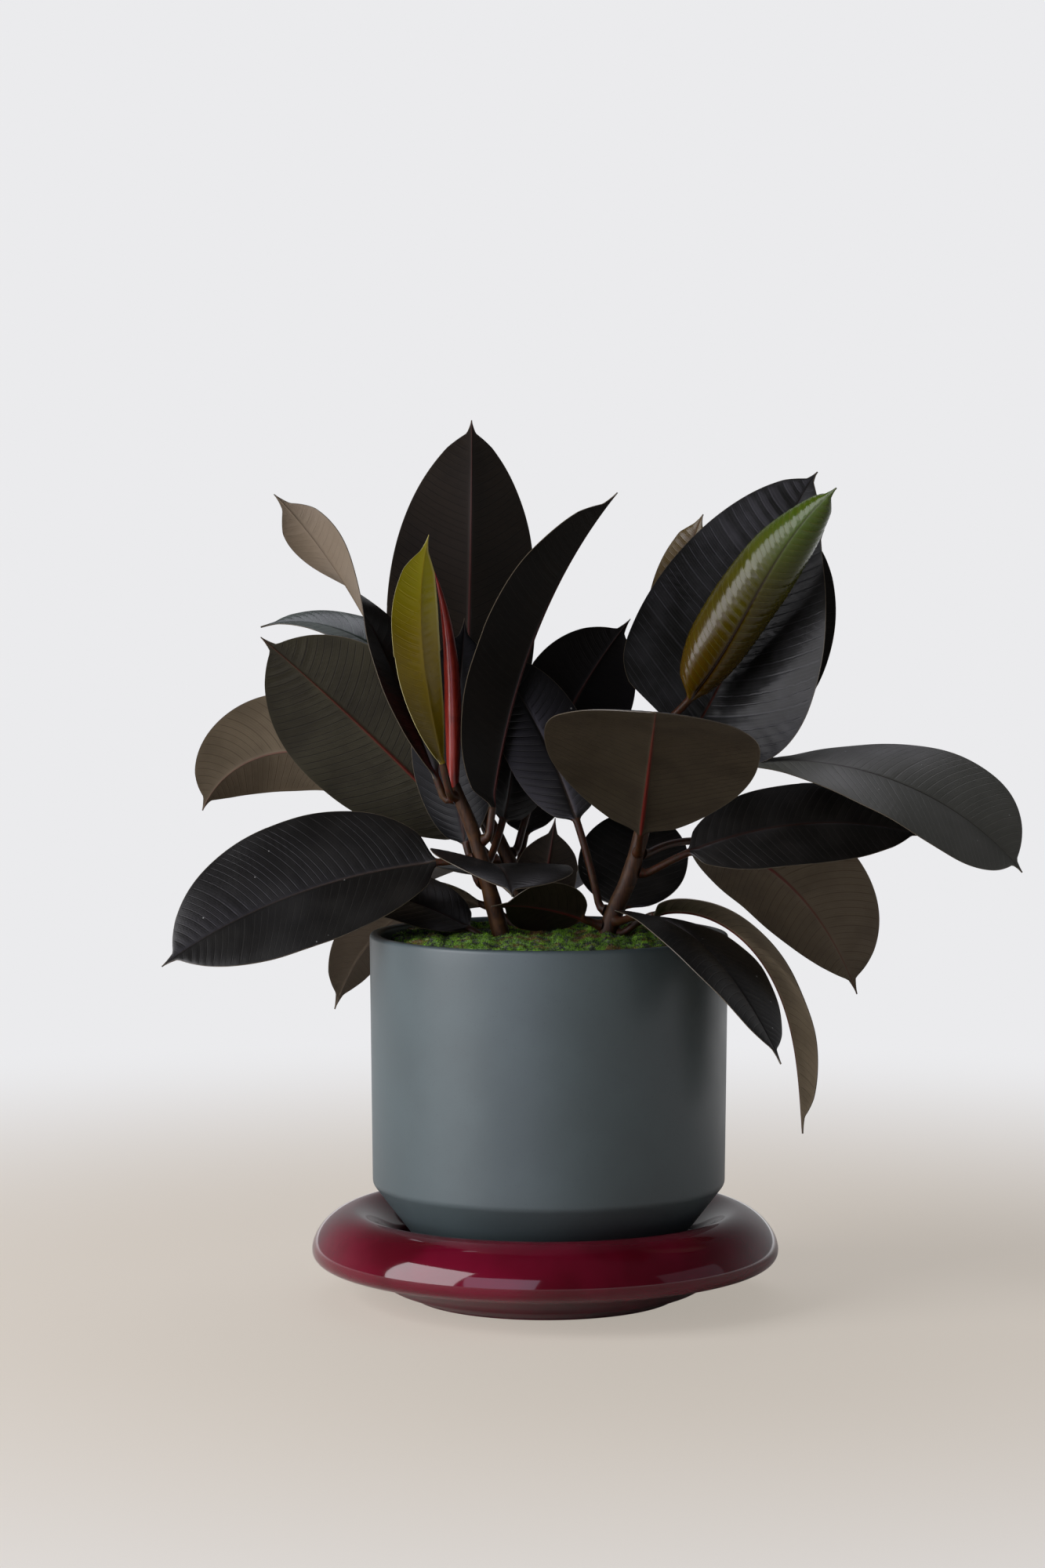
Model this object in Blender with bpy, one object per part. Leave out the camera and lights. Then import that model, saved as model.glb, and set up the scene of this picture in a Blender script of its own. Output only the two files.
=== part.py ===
"""A potted rubber plant: three leafy stems in a turned pot that stands in a rolled-rim saucer.

Frame: origin at the centre of the saucer's flat foot, +Z up, the plant's front towards -Y.
Lengths in the design tables are millimetres and angles are degrees; the meshes are in metres.
"""

import math
from dataclasses import dataclass

import bpy
import numpy as np

MM = 0.001
GAP = 0.3  # clearance between pieces that touch

# Saucer: a flat foot, a well for the pot, and a fat rolled rim.
FOOT_RADIUS = 74.0
FLARE_RADIUS = 92.0
FLARE_HEIGHT = 9.0
ROLL_RADIUS = 130.5  # the saucer's widest
ROLL_HEIGHT = 27.0  # height of the widest line
ROLL_UNDER = (114.0, 18.0)  # where the roll turns under
CREST = (107.0, 49.0)  # the roll's top
WELL_FLOOR = 10.0
WELL_RADIUS = 66.0
WELL_KNEE = (86.0, 30.0)
TURN_STEPS = 48

# Pot: a straight drum over a long chamfer.
POT_SHIFT = 2.0  # the pot stands this far off the saucer's centre, along +X
POT_BASE = WELL_FLOOR + GAP
POT_BASE_RADIUS = 57.0
POT_CREASE = (98.4, 64.0)
POT_RIM = (100.0, 203.6)
POT_WALL = 6.0
POT_FLOOR = 9.0

# Filling.
SOIL_TOP = 184.0
MOSS_TOP = 198.0
MOSS_LUMP = 6.0
FILL_GAP = 1.0  # soil and moss stand this far off the pot's wall

# Stems.
STEM_BASE = 176.0  # they stand this deep in the soil
STEM_FOOT_RADIUS = 5.4
STEM_TIP_RADIUS = 3.4
PETIOLE_RADIUS = 2.1
SEAT = 0.5  # from a stem's skin to the end of a petiole
KNEE = 6.0  # a petiole bends out of its stem over this length

# Leaf sections.
BLADE_THICK = 1.1
MIDRIB_THICK = 2.2
BLADE_STOPS = (0.0, 0.03, 0.08, 0.16, 0.28, 0.42, 0.56, 0.70, 0.82, 0.90, 0.945, 0.97, 1.0)
PETIOLE_STOPS = (0.0, 0.35, 0.7)


@dataclass(frozen=True)
class Stem:
    """A stem: its line in millimetres from the soil upwards."""

    name: str
    line: tuple


@dataclass(frozen=True)
class Leaf:
    """A leaf on its petiole.

    Heading is the way it points in plan, 0 for +X and 90 for +Y. Rise is its slope above the
    level. Roll lifts the leaf's right side. Fold lifts both halves from flat, and curl is what
    each half turns on its way to the margin. Each is given at the stem, at the tip, and, where
    there are three, half way. At is the share of the stem's length where the leaf grows. Tip is
    the drip tip's length. Broad moves the widest place: towards the tip where it is larger.
    """

    name: str
    stem: str
    at: float
    petiole: float
    length: float
    width: float
    heading: tuple
    rise: tuple
    roll: tuple = (0, 0)
    fold: tuple = (12, 8)
    curl: tuple = (-10, -10)
    finish: str = "leaf_dark"
    tip: float = 9.0
    broad: float = 0.93


STEMS = (
    Stem("stem_left", ((-18, -8, STEM_BASE), (-25, -9, 205), (-32, -11, 232), (-40, -12, 261),
          (-51, -13, 287))),
    Stem("stem_right", ((28, -6, STEM_BASE), (37, -6, 212), (47, -5, 236), (56, -3, 270),
          (63, 0, 299), (69, 2, 320))),
    Stem("stem_back", ((-3, 26, STEM_BASE), (-9, 28, 210), (-22, 30, 245), (-40, 31, 278))),
)

LEAVES = (
    # The left of the plant.
    Leaf("leaf_tall", "stem_back", 0.99, 8, 210, 93, (180, 180), (93, 90), (-112, -108), (22, 18),
         (-8, -8), tip=7),
    Leaf("leaf_folded", "stem_left", 0.94, 14, 184, 48, (184, 192), (70, 63, 44), (60, 30, -95),
         (30, 0), broad=1.3),
    Leaf("leaf_wide", "stem_back", 0.66, 20, 166, 84, (188, 194), (48, 40), (-74, -74), (8, 5),
         broad=1.15),
    Leaf("leaf_behind_wide", "stem_back", 0.80, 30, 170, 60, (132, 200), (66, 48, -16), (50, 10),
         (12, 10)),
    Leaf("leaf_far_left", "stem_back", 0.60, 20, 198, 73, (146, 182), (27, 23, -70), (-46, -60),
         (16, 20), tip=7, broad=1.5),
    Leaf("leaf_low_left", "stem_left", 0.63, 18, 166, 88, (185, 190), (-2, -18, -36), (45, 52),
         (18, 16)),
    Leaf("leaf_front_left", "stem_left", 0.58, 16, 96, 78, (-80, -84), (12, -2, -20), (8, 8),
         (12, 10), (-8, -8)),
    Leaf("leaf_right_leaning", "stem_left", 0.70, 18, 192, 64, (-24, -14), (84, 70, 50), (-8, -4),
         (54, 56)),
    Leaf("leaf_new_left", "stem_left", 0.95, 21, 130, 34, (236, 197), (68, 81, 104), (-90, -80),
         (8, 8), (-20, -10), "leaf_new", 9, 1.15),
    Leaf("leaf_shade_left", "stem_left", 0.50, 26, 128, 52, (128, 178), (54, 90, 92), (82, 80),
         (6, 6)),
    # Middle, in the shade.
    Leaf("leaf_centre", "stem_right", 0.22, 52, 112, 48, (160, 160), (78, 66, 50), (68, 66),
         (4, 4)),
    Leaf("leaf_centre_low", "stem_left", 0.58, 32, 74, 48, (72, 12), (30, 78, 70), (-80, -80),
         (8, 6)),
    Leaf("leaf_back_olive", "stem_back", 0.66, 48, 104, 64, (34, 12), (74, 62, 50), (104, 98),
         (4, 4)),
    # The right of the plant.
    Leaf("leaf_great", "stem_right", 0.83, 14, 171, 118, (27, -2), (43, 68, 55), (-60, -56),
         (24, 28), tip=6, broad=0.57),
    Leaf("leaf_new_right", "stem_right", 1.0, 18, 149, 68, (-40, -24), (34, 58, 38),
         (-150, -128, -84), (10, -4), (-120, -60), "leaf_new", 6, 0.75),
    Leaf("leaf_behind_great", "stem_right", 0.70, 36, 150, 92, (50, 10), (46, 58), (116, 98),
         (6, 6), broad=0.8),
    Leaf("leaf_brown_tip", "stem_right", 0.95, 16, 116, 36, (88, 6), (50, 80, 64), (-50, -46),
         (14, 10), (-10, -10), "leaf_young", 6),
    Leaf("leaf_fan", "stem_right", 0.48, 16, 162, 116, (-84, -92), (50, 32, 2), (14, 4), (8, 4),
         broad=1.1),
    Leaf("leaf_reaching_right", "stem_right", 0.74, 34, 186, 96, (-9, 6), (21, -14, -50),
         (-2, -20, -50), (-8, 18), tip=7, broad=1.7),
    Leaf("leaf_under_right", "stem_right", 0.42, 28, 138, 60, (-4, 6), (32, 8, -16), (-44, -44),
         (6, 6)),
    Leaf("leaf_hanging_right", "stem_right", 0.48, 36, 150, 80, (42, 6), (24, -34, -70), (46, 48),
         (22, 20), broad=1.1),
    Leaf("leaf_over_rim", "stem_right", 0.20, 18, 154, 76, (-60, -50), (22, -26, -54), (8, 22),
         (6, 6)),
    Leaf("leaf_trailing", "stem_right", 0.16, 22, 172, 66, (-18, -24), (52, -54, -86), (0, 40),
         (20, 20)),
    # Low and behind.
    Leaf("leaf_low_back", "stem_back", 0.26, 30, 126, 52, (150, 165), (50, -26, -72), (-25, -35),
         (12, 10)),
    Leaf("leaf_rim_left", "stem_left", 0.22, 14, 104, 60, (165, 170), (34, 14, -10), (20, 20),
         (10, 8)),
    Leaf("leaf_low_centre", "stem_right", 0.17, 10, 56, 46, (196, 204), (24, 12, -4), (-40, -40),
         (8, 6)),
    Leaf("leaf_centre_small", "stem_back", 0.26, 12, 58, 34, (-70, -50), (66, 78), (30, 30),
         (8, 6)),
    Leaf("leaf_behind_stem", "stem_right", 0.17, 16, 78, 62, (66, 80), (42, 60), (-10, -10),
         (8, 6)),
    Leaf("leaf_back_up", "stem_back", 0.95, 20, 150, 70, (70, 76), (44, 24, -10), (0, 0), (10, 8)),
    Leaf("leaf_back_left", "stem_back", 0.72, 24, 146, 56, (116, 124), (36, 12, -18), (0, 0),
         (10, 8)),
    Leaf("leaf_back_low_left", "stem_back", 0.46, 26, 150, 80, (120, 128), (24, -8, -40), (0, 0),
         (10, 8)),
    Leaf("leaf_back_middle", "stem_back", 0.56, 26, 126, 52, (74, 66), (58, 42, 14), (0, 0),
         (10, 8)),
    Leaf("leaf_back_right_up", "stem_right", 0.60, 22, 146, 70, (90, 82), (16, 4, -18), (0, 0),
         (10, 8)),
    Leaf("leaf_back_low_right", "stem_back", 0.28, 26, 140, 60, (88, 62), (28, 6, -22), (0, 0),
         (10, 8)),
)

SHEATH = Leaf("sheath_left", "stem_left", 1.0, 2, 118, 8, (180, 180), (90, 87, 72), (0, 0),
              (0, 0), (0, 0), "sheath", 1)

FINISHES = {
    "saucer_glaze": ((0.16, 0.010, 0.035), 0.12),
    "pot_glaze": ((0.105, 0.125, 0.135), 0.62),
    "soil": ((0.035, 0.022, 0.014), 0.95),
    "moss": ((0.09, 0.20, 0.012), 0.95),
    "stem_bark": ((0.20, 0.075, 0.03), 0.6),
    "leaf_dark": ((0.018, 0.016, 0.015), 0.35),
    "leaf_new": ((0.20, 0.20, 0.006), 0.25),
    "leaf_young": ((0.10, 0.07, 0.03), 0.4),
    "sheath": ((0.32, 0.03, 0.015), 0.35),
}


def finish(name):
    """The material of this name, made on first use."""
    if name in bpy.data.materials:
        return bpy.data.materials[name]
    colour, roughness = FINISHES[name]
    material = bpy.data.materials.new(name)
    material.use_nodes = True
    shader = material.node_tree.nodes["Principled BSDF"]
    shader.inputs["Base Color"].default_value = (*colour, 1.0)
    shader.inputs["Roughness"].default_value = roughness
    shader.inputs["Metallic"].default_value = 0.0
    return material


def unit(vector):
    """The vector at length one."""
    return vector / np.linalg.norm(vector)


def add_object(name, points, faces, finish_name):
    """An object in the scene from points in millimetres."""
    mesh = bpy.data.meshes.new(name)
    mesh.from_pydata([tuple(float(c) * MM for c in p) for p in points], [], faces)
    mesh.materials.append(finish(finish_name))
    mesh.shade_smooth()
    mesh.set_sharp_from_angle(angle=math.radians(40))
    piece = bpy.data.objects.new(name, mesh)
    bpy.context.scene.collection.objects.link(piece)
    return piece


def loft(name, rings, finish_name):
    """A closed skin over rings of points, capped at both ends.

    Each ring runs anticlockwise as seen from ahead, looking back along the loft. The first half
    of a ring and the second are split into triangles along mirrored diagonals, so that the two
    sides of a thin twisted blade stay side by side and don't pass through each other.
    """
    count = len(rings[0])
    points = [p for ring in rings for p in ring]
    faces = [tuple(range(count))]
    for row in range(len(rings) - 1):
        for k in range(count):
            a = row * count + k
            b = row * count + (k + 1) % count
            if k < count // 2:
                faces += [(a, a + count, b + count), (a, b + count, b)]
            else:
                faces += [(a, a + count, b), (b, a + count, b + count)]
    last = (len(rings) - 1) * count
    faces.append(tuple(range(last, last + count))[::-1])
    return add_object(name, points, faces, finish_name)


def turned(name, profile, finish_name, shift=0.0):
    """A profile of (radius, height), from the top of the axis round to its bottom, turned."""
    mesh = bpy.data.meshes.new(name)
    points = [(r * MM, 0.0, z * MM) for r, z in profile]
    mesh.from_pydata(points, [(k, k + 1) for k in range(len(points) - 1)], [])
    mesh.materials.append(finish(finish_name))
    piece = bpy.data.objects.new(name, mesh)
    piece.location.x = shift * MM
    bpy.context.scene.collection.objects.link(piece)
    screw = piece.modifiers.new("turn", "SCREW")
    screw.steps = TURN_STEPS
    screw.render_steps = TURN_STEPS
    screw.use_merge_vertices = True
    screw.merge_threshold = 0.00001
    screw.use_smooth_shade = True
    return piece


def quarter(start, end, bulge, steps, first="radius"):
    """Points of a rounded quarter between two points, without its first point.

    The curve leaves the start along its radius, or along its height, and bulge is the
    superellipse's power: 2 is round and less is flatter.
    """
    points = []
    for k in range(1, steps + 1):
        turn = math.pi / 2 * k / steps
        across = math.sin(turn) ** (2 / bulge)
        down = 1 - math.cos(turn) ** (2 / bulge)
        if first == "height":
            across, down = down, across
        radius = start[0] + (end[0] - start[0]) * across
        height = start[1] + (end[1] - start[1]) * down
        points.append((radius, height))
    return points


def saucer_profile():
    """The saucer's section, from the middle of the well over the roll to the foot."""
    wide = (ROLL_RADIUS, ROLL_HEIGHT)
    profile = [(0.0, WELL_FLOOR), (WELL_RADIUS, WELL_FLOOR)]
    profile += quarter((WELL_RADIUS, WELL_FLOOR), WELL_KNEE, 2.0, 4)
    profile += quarter(WELL_KNEE, CREST, 1.6, 3, "height")
    profile += quarter(CREST, wide, 1.75, 6)
    profile += quarter(wide, ROLL_UNDER, 2.4, 4, "height")
    profile += [(FLARE_RADIUS, FLARE_HEIGHT), (FOOT_RADIUS + 14.0, FLARE_HEIGHT - 3.0)]
    profile += [(FOOT_RADIUS + 1.0, 1.0), (FOOT_RADIUS, 0.0), (0.0, 0.0)]
    return profile


def pot_profile():
    """The pot's section, from the middle of its inside up the wall, over the rim and down."""
    rim_radius, rim_top = POT_RIM
    crease_radius, crease_height = POT_CREASE
    lip = POT_WALL / 2
    inner_crease = (crease_radius - POT_WALL, crease_height + 1.0)
    rim = [
        (rim_radius - lip + lip * math.cos(turn), rim_top - lip + lip * math.sin(turn))
        for turn in (math.radians(a) for a in (180, 135, 90, 45, 0))
    ]
    floor_radius = POT_BASE_RADIUS - 2.0
    profile = [(0.0, POT_BASE + POT_FLOOR), (floor_radius, POT_BASE + POT_FLOOR), inner_crease]
    profile += rim
    profile += [(crease_radius + 0.1, crease_height + 3.0), (crease_radius - 1.2, crease_height - 1.2)]
    profile += [(POT_BASE_RADIUS + 1.0, POT_BASE + 1.0), (POT_BASE_RADIUS, POT_BASE), (0.0, POT_BASE)]
    return profile


def inside_radius(height):
    """The radius of the pot's inside at a height above its crease."""
    share = (height - POT_CREASE[1]) / (POT_RIM[1] - POT_CREASE[1])
    return POT_CREASE[0] + (POT_RIM[0] - POT_CREASE[0]) * share - POT_WALL


def along(values, share):
    """A value that runs evenly from the first to the last, through a middle one if given."""
    if len(values) == 2:
        return values[0] + (values[1] - values[0]) * share
    start, middle, end = values
    bow = middle - (start + end) / 2
    return start + (end - start) * share + 4 * bow * share * (1 - share)


def stem_point(stem, share):
    """Position on a stem's line, and the line's direction, at a share of its length."""
    line = np.array(stem.line, float)
    place = share * (len(line) - 1)
    first = min(int(place), len(line) - 2)
    t = place - first
    before = line[max(first - 1, 0)]
    after = line[min(first + 2, len(line) - 1)]
    a, b = line[first], line[first + 1]
    slope_a = (b - before) / (2 if first else 1)
    slope_b = (after - a) / (2 if first + 2 < len(line) else 1)
    point = (
        a * (2 * t**3 - 3 * t**2 + 1)
        + slope_a * (t**3 - 2 * t**2 + t)
        + b * (3 * t**2 - 2 * t**3)
        + slope_b * (t**3 - t**2)
    )
    tangent = (
        a * (6 * t**2 - 6 * t)
        + slope_a * (3 * t**2 - 4 * t + 1)
        + b * (6 * t - 6 * t**2)
        + slope_b * (3 * t**2 - 2 * t)
    )
    return point, unit(tangent)


def stem_radius(share):
    """A stem's radius, tapering from the soil to its tip."""
    return STEM_FOOT_RADIUS + (STEM_TIP_RADIUS - STEM_FOOT_RADIUS) * share


def frame_at(leaf, share):
    """Forward, right and upper directions of a leaf at a share of its whole length."""
    heading = math.radians(along(leaf.heading, share))
    rise = math.radians(along(leaf.rise, share))
    roll = math.radians(along(leaf.roll, share))
    forward = np.array(
        [
            math.cos(rise) * math.cos(heading),
            math.cos(rise) * math.sin(heading),
            math.sin(rise),
        ]
    )
    level = np.array([math.sin(heading), -math.cos(heading), 0.0])
    upper = np.cross(level, forward)
    right = level * math.cos(roll) + upper * math.sin(roll)
    return forward, right, np.cross(right, forward)


def half_width(leaf, share):
    """Half the blade's width at a share of its length: an oval with a short drip tip."""
    body = 1 - leaf.tip / leaf.length
    place = min(share / body, 1.0) ** leaf.broad
    oval = leaf.width / 2 * (1 - abs(2 * place - 1) ** 2.3) ** 0.72
    drip = 1.6 * (1 - share) / (1 - body) + 0.35
    return max(oval, min(drip, PETIOLE_RADIUS))


def cross_curve(leaf, share, reach):
    """Across and upward distances at a reach from the midrib, along the folded, curled half."""
    wide = half_width(leaf, share)
    fold = math.radians(along(leaf.fold, share))
    curl = math.radians(along(leaf.curl, share))
    across = upward = 0.0
    steps = 6
    for k in range(steps):
        angle = fold + curl * (k + 0.5) / steps * reach
        across += math.cos(angle) * wide * reach / steps
        upward += math.sin(angle) * wide * reach / steps
    return across, upward


def blade_ring(leaf, share):
    """Ten points of a blade's section, as distances to the right and upwards."""
    thin = BLADE_THICK / 2
    top = []
    under = []
    for side, reach in ((1, 1.0), (1, 0.5), (1, 0.0), (-1, 0.5), (-1, 1.0)):
        across, upward = cross_curve(leaf, share, reach)
        rib = MIDRIB_THICK - BLADE_THICK if reach == 0.0 else 0.0
        edge = 0.7 if reach == 1.0 else 1.0
        top.append((side * across, upward + thin * edge))
        under.append((side * across, upward - thin * edge - rib))
    return top + under[::-1]


def round_ring(radius):
    """Ten points of a petiole's section, in the order of blade_ring."""
    turns = (15, 50, 90, 130, 165, 195, 230, 270, 310, 345)
    return [(radius * math.cos(math.radians(a)), radius * math.sin(math.radians(a))) for a in turns]


def leaf_foot(leaf, stem):
    """Where a leaf's petiole starts, just off the stem's skin, and the way it leaves."""
    foot, axis = stem_point(stem, leaf.at)
    if leaf.at >= 1.0:
        return foot + axis * SEAT, axis
    heading = math.radians(leaf.heading[0])
    out = np.array([math.cos(heading), math.sin(heading), 0.0])
    out = unit(out - axis * float(out @ axis))
    return foot + out * (stem_radius(leaf.at) + SEAT), out


def eased_frame(leaf, out, distance):
    """The leaf's directions at a distance from its foot, bending out of the stem over the knee."""
    forward, right, upper = frame_at(leaf, distance / (leaf.petiole + leaf.length))
    knee = min(KNEE, leaf.petiole)
    if distance < knee:
        ease = distance / knee
        forward = unit(out * (1 - ease) + forward * ease)
        right = unit(right - forward * float(right @ forward))
        upper = np.cross(right, forward)
    return forward, right, upper


def leaf_ring(leaf, share, place, right, upper):
    """A ring of the leaf at a share of its blade, round on the petiole and flat beyond."""
    blend = min(1.0, share / 0.06)
    ring = []
    for (x0, y0), (x1, y1) in zip(round_ring(PETIOLE_RADIUS), blade_ring(leaf, share)):
        x = x0 + (x1 - x0) * blend
        y = y0 + (y1 - y0) * blend
        ring.append(place + right * x + upper * y)
    return ring


def leaf_rings(leaf, stem):
    """The leaf's rings of points, from the stem's skin to the tip."""
    start, out = leaf_foot(leaf, stem)
    stations = [leaf.petiole * s for s in PETIOLE_STOPS]
    stations += [leaf.petiole + leaf.length * s for s in BLADE_STOPS]
    rings = []
    place = start.copy()
    reached = 0.0
    for station in stations:
        while reached < station - 1e-9:
            step = min(1.0, station - reached)
            place = place + eased_frame(leaf, out, reached + step / 2)[0] * step
            reached += step
        _, right, upper = eased_frame(leaf, out, station)
        share = max(0.0, (station - leaf.petiole) / leaf.length)
        rings.append(leaf_ring(leaf, share, place, right, upper))
    return rings


def make_stem(stem):
    """A tapering round stem."""
    rings = []
    shares = [k / 12 for k in range(13)]
    for share in shares:
        centre, axis = stem_point(stem, share)
        side = unit(np.cross(axis, (0.0, 1.0, 0.0)))
        front = np.cross(side, axis)
        radius = stem_radius(share)
        ring = []
        for k in range(12):
            turn = 2 * math.pi * k / 12
            ring.append(centre + (side * math.cos(turn) + front * math.sin(turn)) * radius)
        rings.append(ring)
    return loft(stem.name, rings, "stem_bark")


def stem_cutters():
    """Hidden guides a little fatter than the stems' feet, which cut the soil and the moss."""
    cutters = []
    for stem in STEMS:
        rings = []
        for share in (0.0, 0.15, 0.3, 0.45):
            centre, axis = stem_point(stem, share)
            if share == 0.0:
                centre = centre - axis * GAP
            side = unit(np.cross(axis, (0.0, 1.0, 0.0)))
            front = np.cross(side, axis)
            radius = stem_radius(share) + GAP + 0.15
            turns = [2 * math.pi * k / 12 for k in range(12)]
            rings.append([centre + (side * math.cos(t) + front * math.sin(t)) * radius for t in turns])
        cutter = loft("cutter_" + stem.name, rings, "stem_bark")
        cutter.hide_render = True
        cutter.display_type = "WIRE"
        cutters.append(cutter)
    return cutters


def cut(piece, cutters):
    """Takes the cutters out of a piece."""
    for cutter in cutters:
        hole = piece.modifiers.new("hole", "BOOLEAN")
        hole.operation = "DIFFERENCE"
        hole.object = cutter


def moss_height(x, y):
    """The moss's top: soft cushions that swell towards the middle."""
    swell = math.cos(x / 13.0 + 0.6) * math.cos(y / 11.0 - 0.4) + 0.5 * math.sin(x / 6.1) * math.sin(y / 7.3)
    return MOSS_TOP + MOSS_LUMP / 2 * swell / 1.5


def make_moss():
    """A carpet of moss over the soil, a closed disc with a lumpy top."""
    under = SOIL_TOP + GAP
    radii = [inside_radius(under) - FILL_GAP - 1.0]
    rim = radii[0]
    circles = [rim, rim - 5, rim - 14, rim - 26, rim - 40, rim - 56, rim - 74]
    count = 40
    points = []
    faces = []
    for k in range(count):
        turn = 2 * math.pi * k / count
        points.append((rim * math.cos(turn) + POT_SHIFT, rim * math.sin(turn), under))
    for number, radius in enumerate(circles):
        for k in range(count):
            turn = 2 * math.pi * k / count
            x, y = radius * math.cos(turn), radius * math.sin(turn)
            height = moss_height(x, y) if number else under + 5.0
            points.append((x + POT_SHIFT, y, height))
    for row in range(len(circles)):
        for k in range(count):
            a = row * count + k
            b = row * count + (k + 1) % count
            faces.append((a, b, b + count, a + count))
    faces.append(tuple(range(count))[::-1])
    last = len(circles) * count
    points.append((POT_SHIFT, 0.0, moss_height(0, 0)))
    for k in range(count):
        faces.append((last + k, last + (k + 1) % count, len(points) - 1))
    return add_object("moss", points, faces, "moss")


def soil_profile():
    """The soil's section: a plug that follows the pot's inside."""
    floor = POT_BASE + POT_FLOOR + GAP
    crease = (POT_CREASE[0] - POT_WALL - FILL_GAP - 0.5, POT_CREASE[1] + 2.0)
    top_radius = inside_radius(SOIL_TOP) - FILL_GAP
    return [(0.0, SOIL_TOP), (top_radius, SOIL_TOP), crease, (POT_BASE_RADIUS - 4.0, floor), (0.0, floor)]


def main():
    """Builds every piece, in one frame."""
    for old in list(bpy.data.objects):
        bpy.data.objects.remove(old, do_unlink=True)
    turned("saucer", saucer_profile(), "saucer_glaze")
    turned("pot", pot_profile(), "pot_glaze", POT_SHIFT)
    cutters = stem_cutters()
    cut(turned("soil", soil_profile(), "soil", POT_SHIFT), cutters)
    cut(make_moss(), cutters)
    stems = {stem.name: stem for stem in STEMS}
    for stem in STEMS:
        make_stem(stem)
    for leaf in (*LEAVES, SHEATH):
        loft(leaf.name, leaf_rings(leaf, stems[leaf.stem]), leaf.finish)


if __name__ == "__main__":
    main()
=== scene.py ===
"""Looks of a potted rubber plant: broad leathery leaves on woody stems, a bed of sheet moss, a
slate-grey stoneware pot and a burgundy saucer, dressed over the fixed frame of its solids.

Frame: metres, +Z up, the plant's front towards -Y. The design tables are in millimetres and
degrees, the same as the solids', and each class turns them into finished meshes at the origin.
"""

import logging
import math
from collections.abc import Mapping, Sequence
from dataclasses import dataclass
from enum import Enum

import bmesh
import bpy
import numpy as np
from mathutils import Matrix, Vector


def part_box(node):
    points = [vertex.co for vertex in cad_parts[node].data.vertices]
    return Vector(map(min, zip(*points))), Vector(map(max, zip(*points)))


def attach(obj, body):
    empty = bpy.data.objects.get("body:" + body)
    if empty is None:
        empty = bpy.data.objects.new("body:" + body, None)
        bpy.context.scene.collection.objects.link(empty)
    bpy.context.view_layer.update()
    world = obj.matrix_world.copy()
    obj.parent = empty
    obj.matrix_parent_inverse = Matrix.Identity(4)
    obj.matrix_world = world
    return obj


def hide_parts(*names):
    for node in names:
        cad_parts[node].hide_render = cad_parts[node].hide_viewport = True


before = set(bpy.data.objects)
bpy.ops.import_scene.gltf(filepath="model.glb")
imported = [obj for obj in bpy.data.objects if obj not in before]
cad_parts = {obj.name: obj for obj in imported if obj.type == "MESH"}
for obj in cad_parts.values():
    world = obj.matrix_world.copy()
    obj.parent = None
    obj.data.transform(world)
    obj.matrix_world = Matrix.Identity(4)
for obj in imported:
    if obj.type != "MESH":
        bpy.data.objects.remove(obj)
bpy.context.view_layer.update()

MM = 0.001
BODY = "root"
log = logging.getLogger("rubber_plant")

Socket = bpy.types.NodeSocket
Profile = list[tuple[float, float]]

# Node settings that come back again and again.
SMOOTH = {"interpolation_type": "SMOOTHSTEP"}
RGBA = {"data_type": "RGBA"}
VECTOR = {"data_type": "FLOAT_VECTOR"}
TIMES = {"operation": "MULTIPLY"}
PLUS = {"operation": "ADD"}
MINUS = {"operation": "SUBTRACT"}
TIMES_PLUS = {"operation": "MULTIPLY_ADD"}
LARGER = {"operation": "MAXIMUM"}
VALUE = {"data_type": "FLOAT"}


# --------------------------------------------------------------------------------------
# Node trees
# --------------------------------------------------------------------------------------


def linear(hex_colour: str) -> tuple[float, float, float, float]:
    """Turns an sRGB hex colour to linear light.

    Args:
        hex_colour: a colour such as "#5a6268".

    Returns:
        Linear red, green and blue, and an alpha of 1.
    """
    parts = (int(hex_colour[k : k + 2], 16) / 255 for k in (1, 3, 5))
    shares = [c / 12.92 if c <= 0.04045 else ((c + 0.055) / 1.055) ** 2.4 for c in parts]
    return (shares[0], shares[1], shares[2], 1.0)


def socket_of(sockets: Sequence[Socket], key: str | int) -> Socket:
    """Finds a socket.

    Args:
        sockets: a node's inputs or outputs.
        key: its place, its identifier or its name.

    Returns:
        The socket.
    """
    if isinstance(key, int):
        return sockets[key]
    for told in ("identifier", "name"):
        for socket in sockets:
            if getattr(socket, told) == key and socket.enabled:
                return socket
    raise KeyError(f"no socket {key!r} among {[s.identifier for s in sockets]}")


class Graph:
    """A node tree under construction."""

    def __init__(self, tree: bpy.types.NodeTree) -> None:
        """Starts on a tree."""
        self.tree = tree

    def add(
        self,
        kind: str,
        settings: Mapping[str, object] | None = None,
        fills: Mapping[str | int, object] | None = None,
        gives: str | int = 0,
    ) -> Socket | bpy.types.Node:
        """Adds a node with its settings and links.

        Args:
            kind: the node's type.
            settings: its properties.
            fills: each input's value, a hex colour, or the output or outputs that it takes.
            gives: which output to return.

        Returns:
            That output, or the node itself where it has none.
        """
        made = self.tree.nodes.new(kind)
        for name, value in (settings or {}).items():
            setattr(made, name, value)
        for key, value in (fills or {}).items():
            socket = socket_of(made.inputs, key)
            if isinstance(value, Socket):
                self.tree.links.new(value, socket)
            elif isinstance(value, list):
                for one in value:
                    self.tree.links.new(one, socket)
            elif isinstance(value, str) and value.startswith("#"):
                socket.default_value = linear(value)
            else:
                socket.default_value = value
        return socket_of(made.outputs, gives) if made.outputs else made


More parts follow.
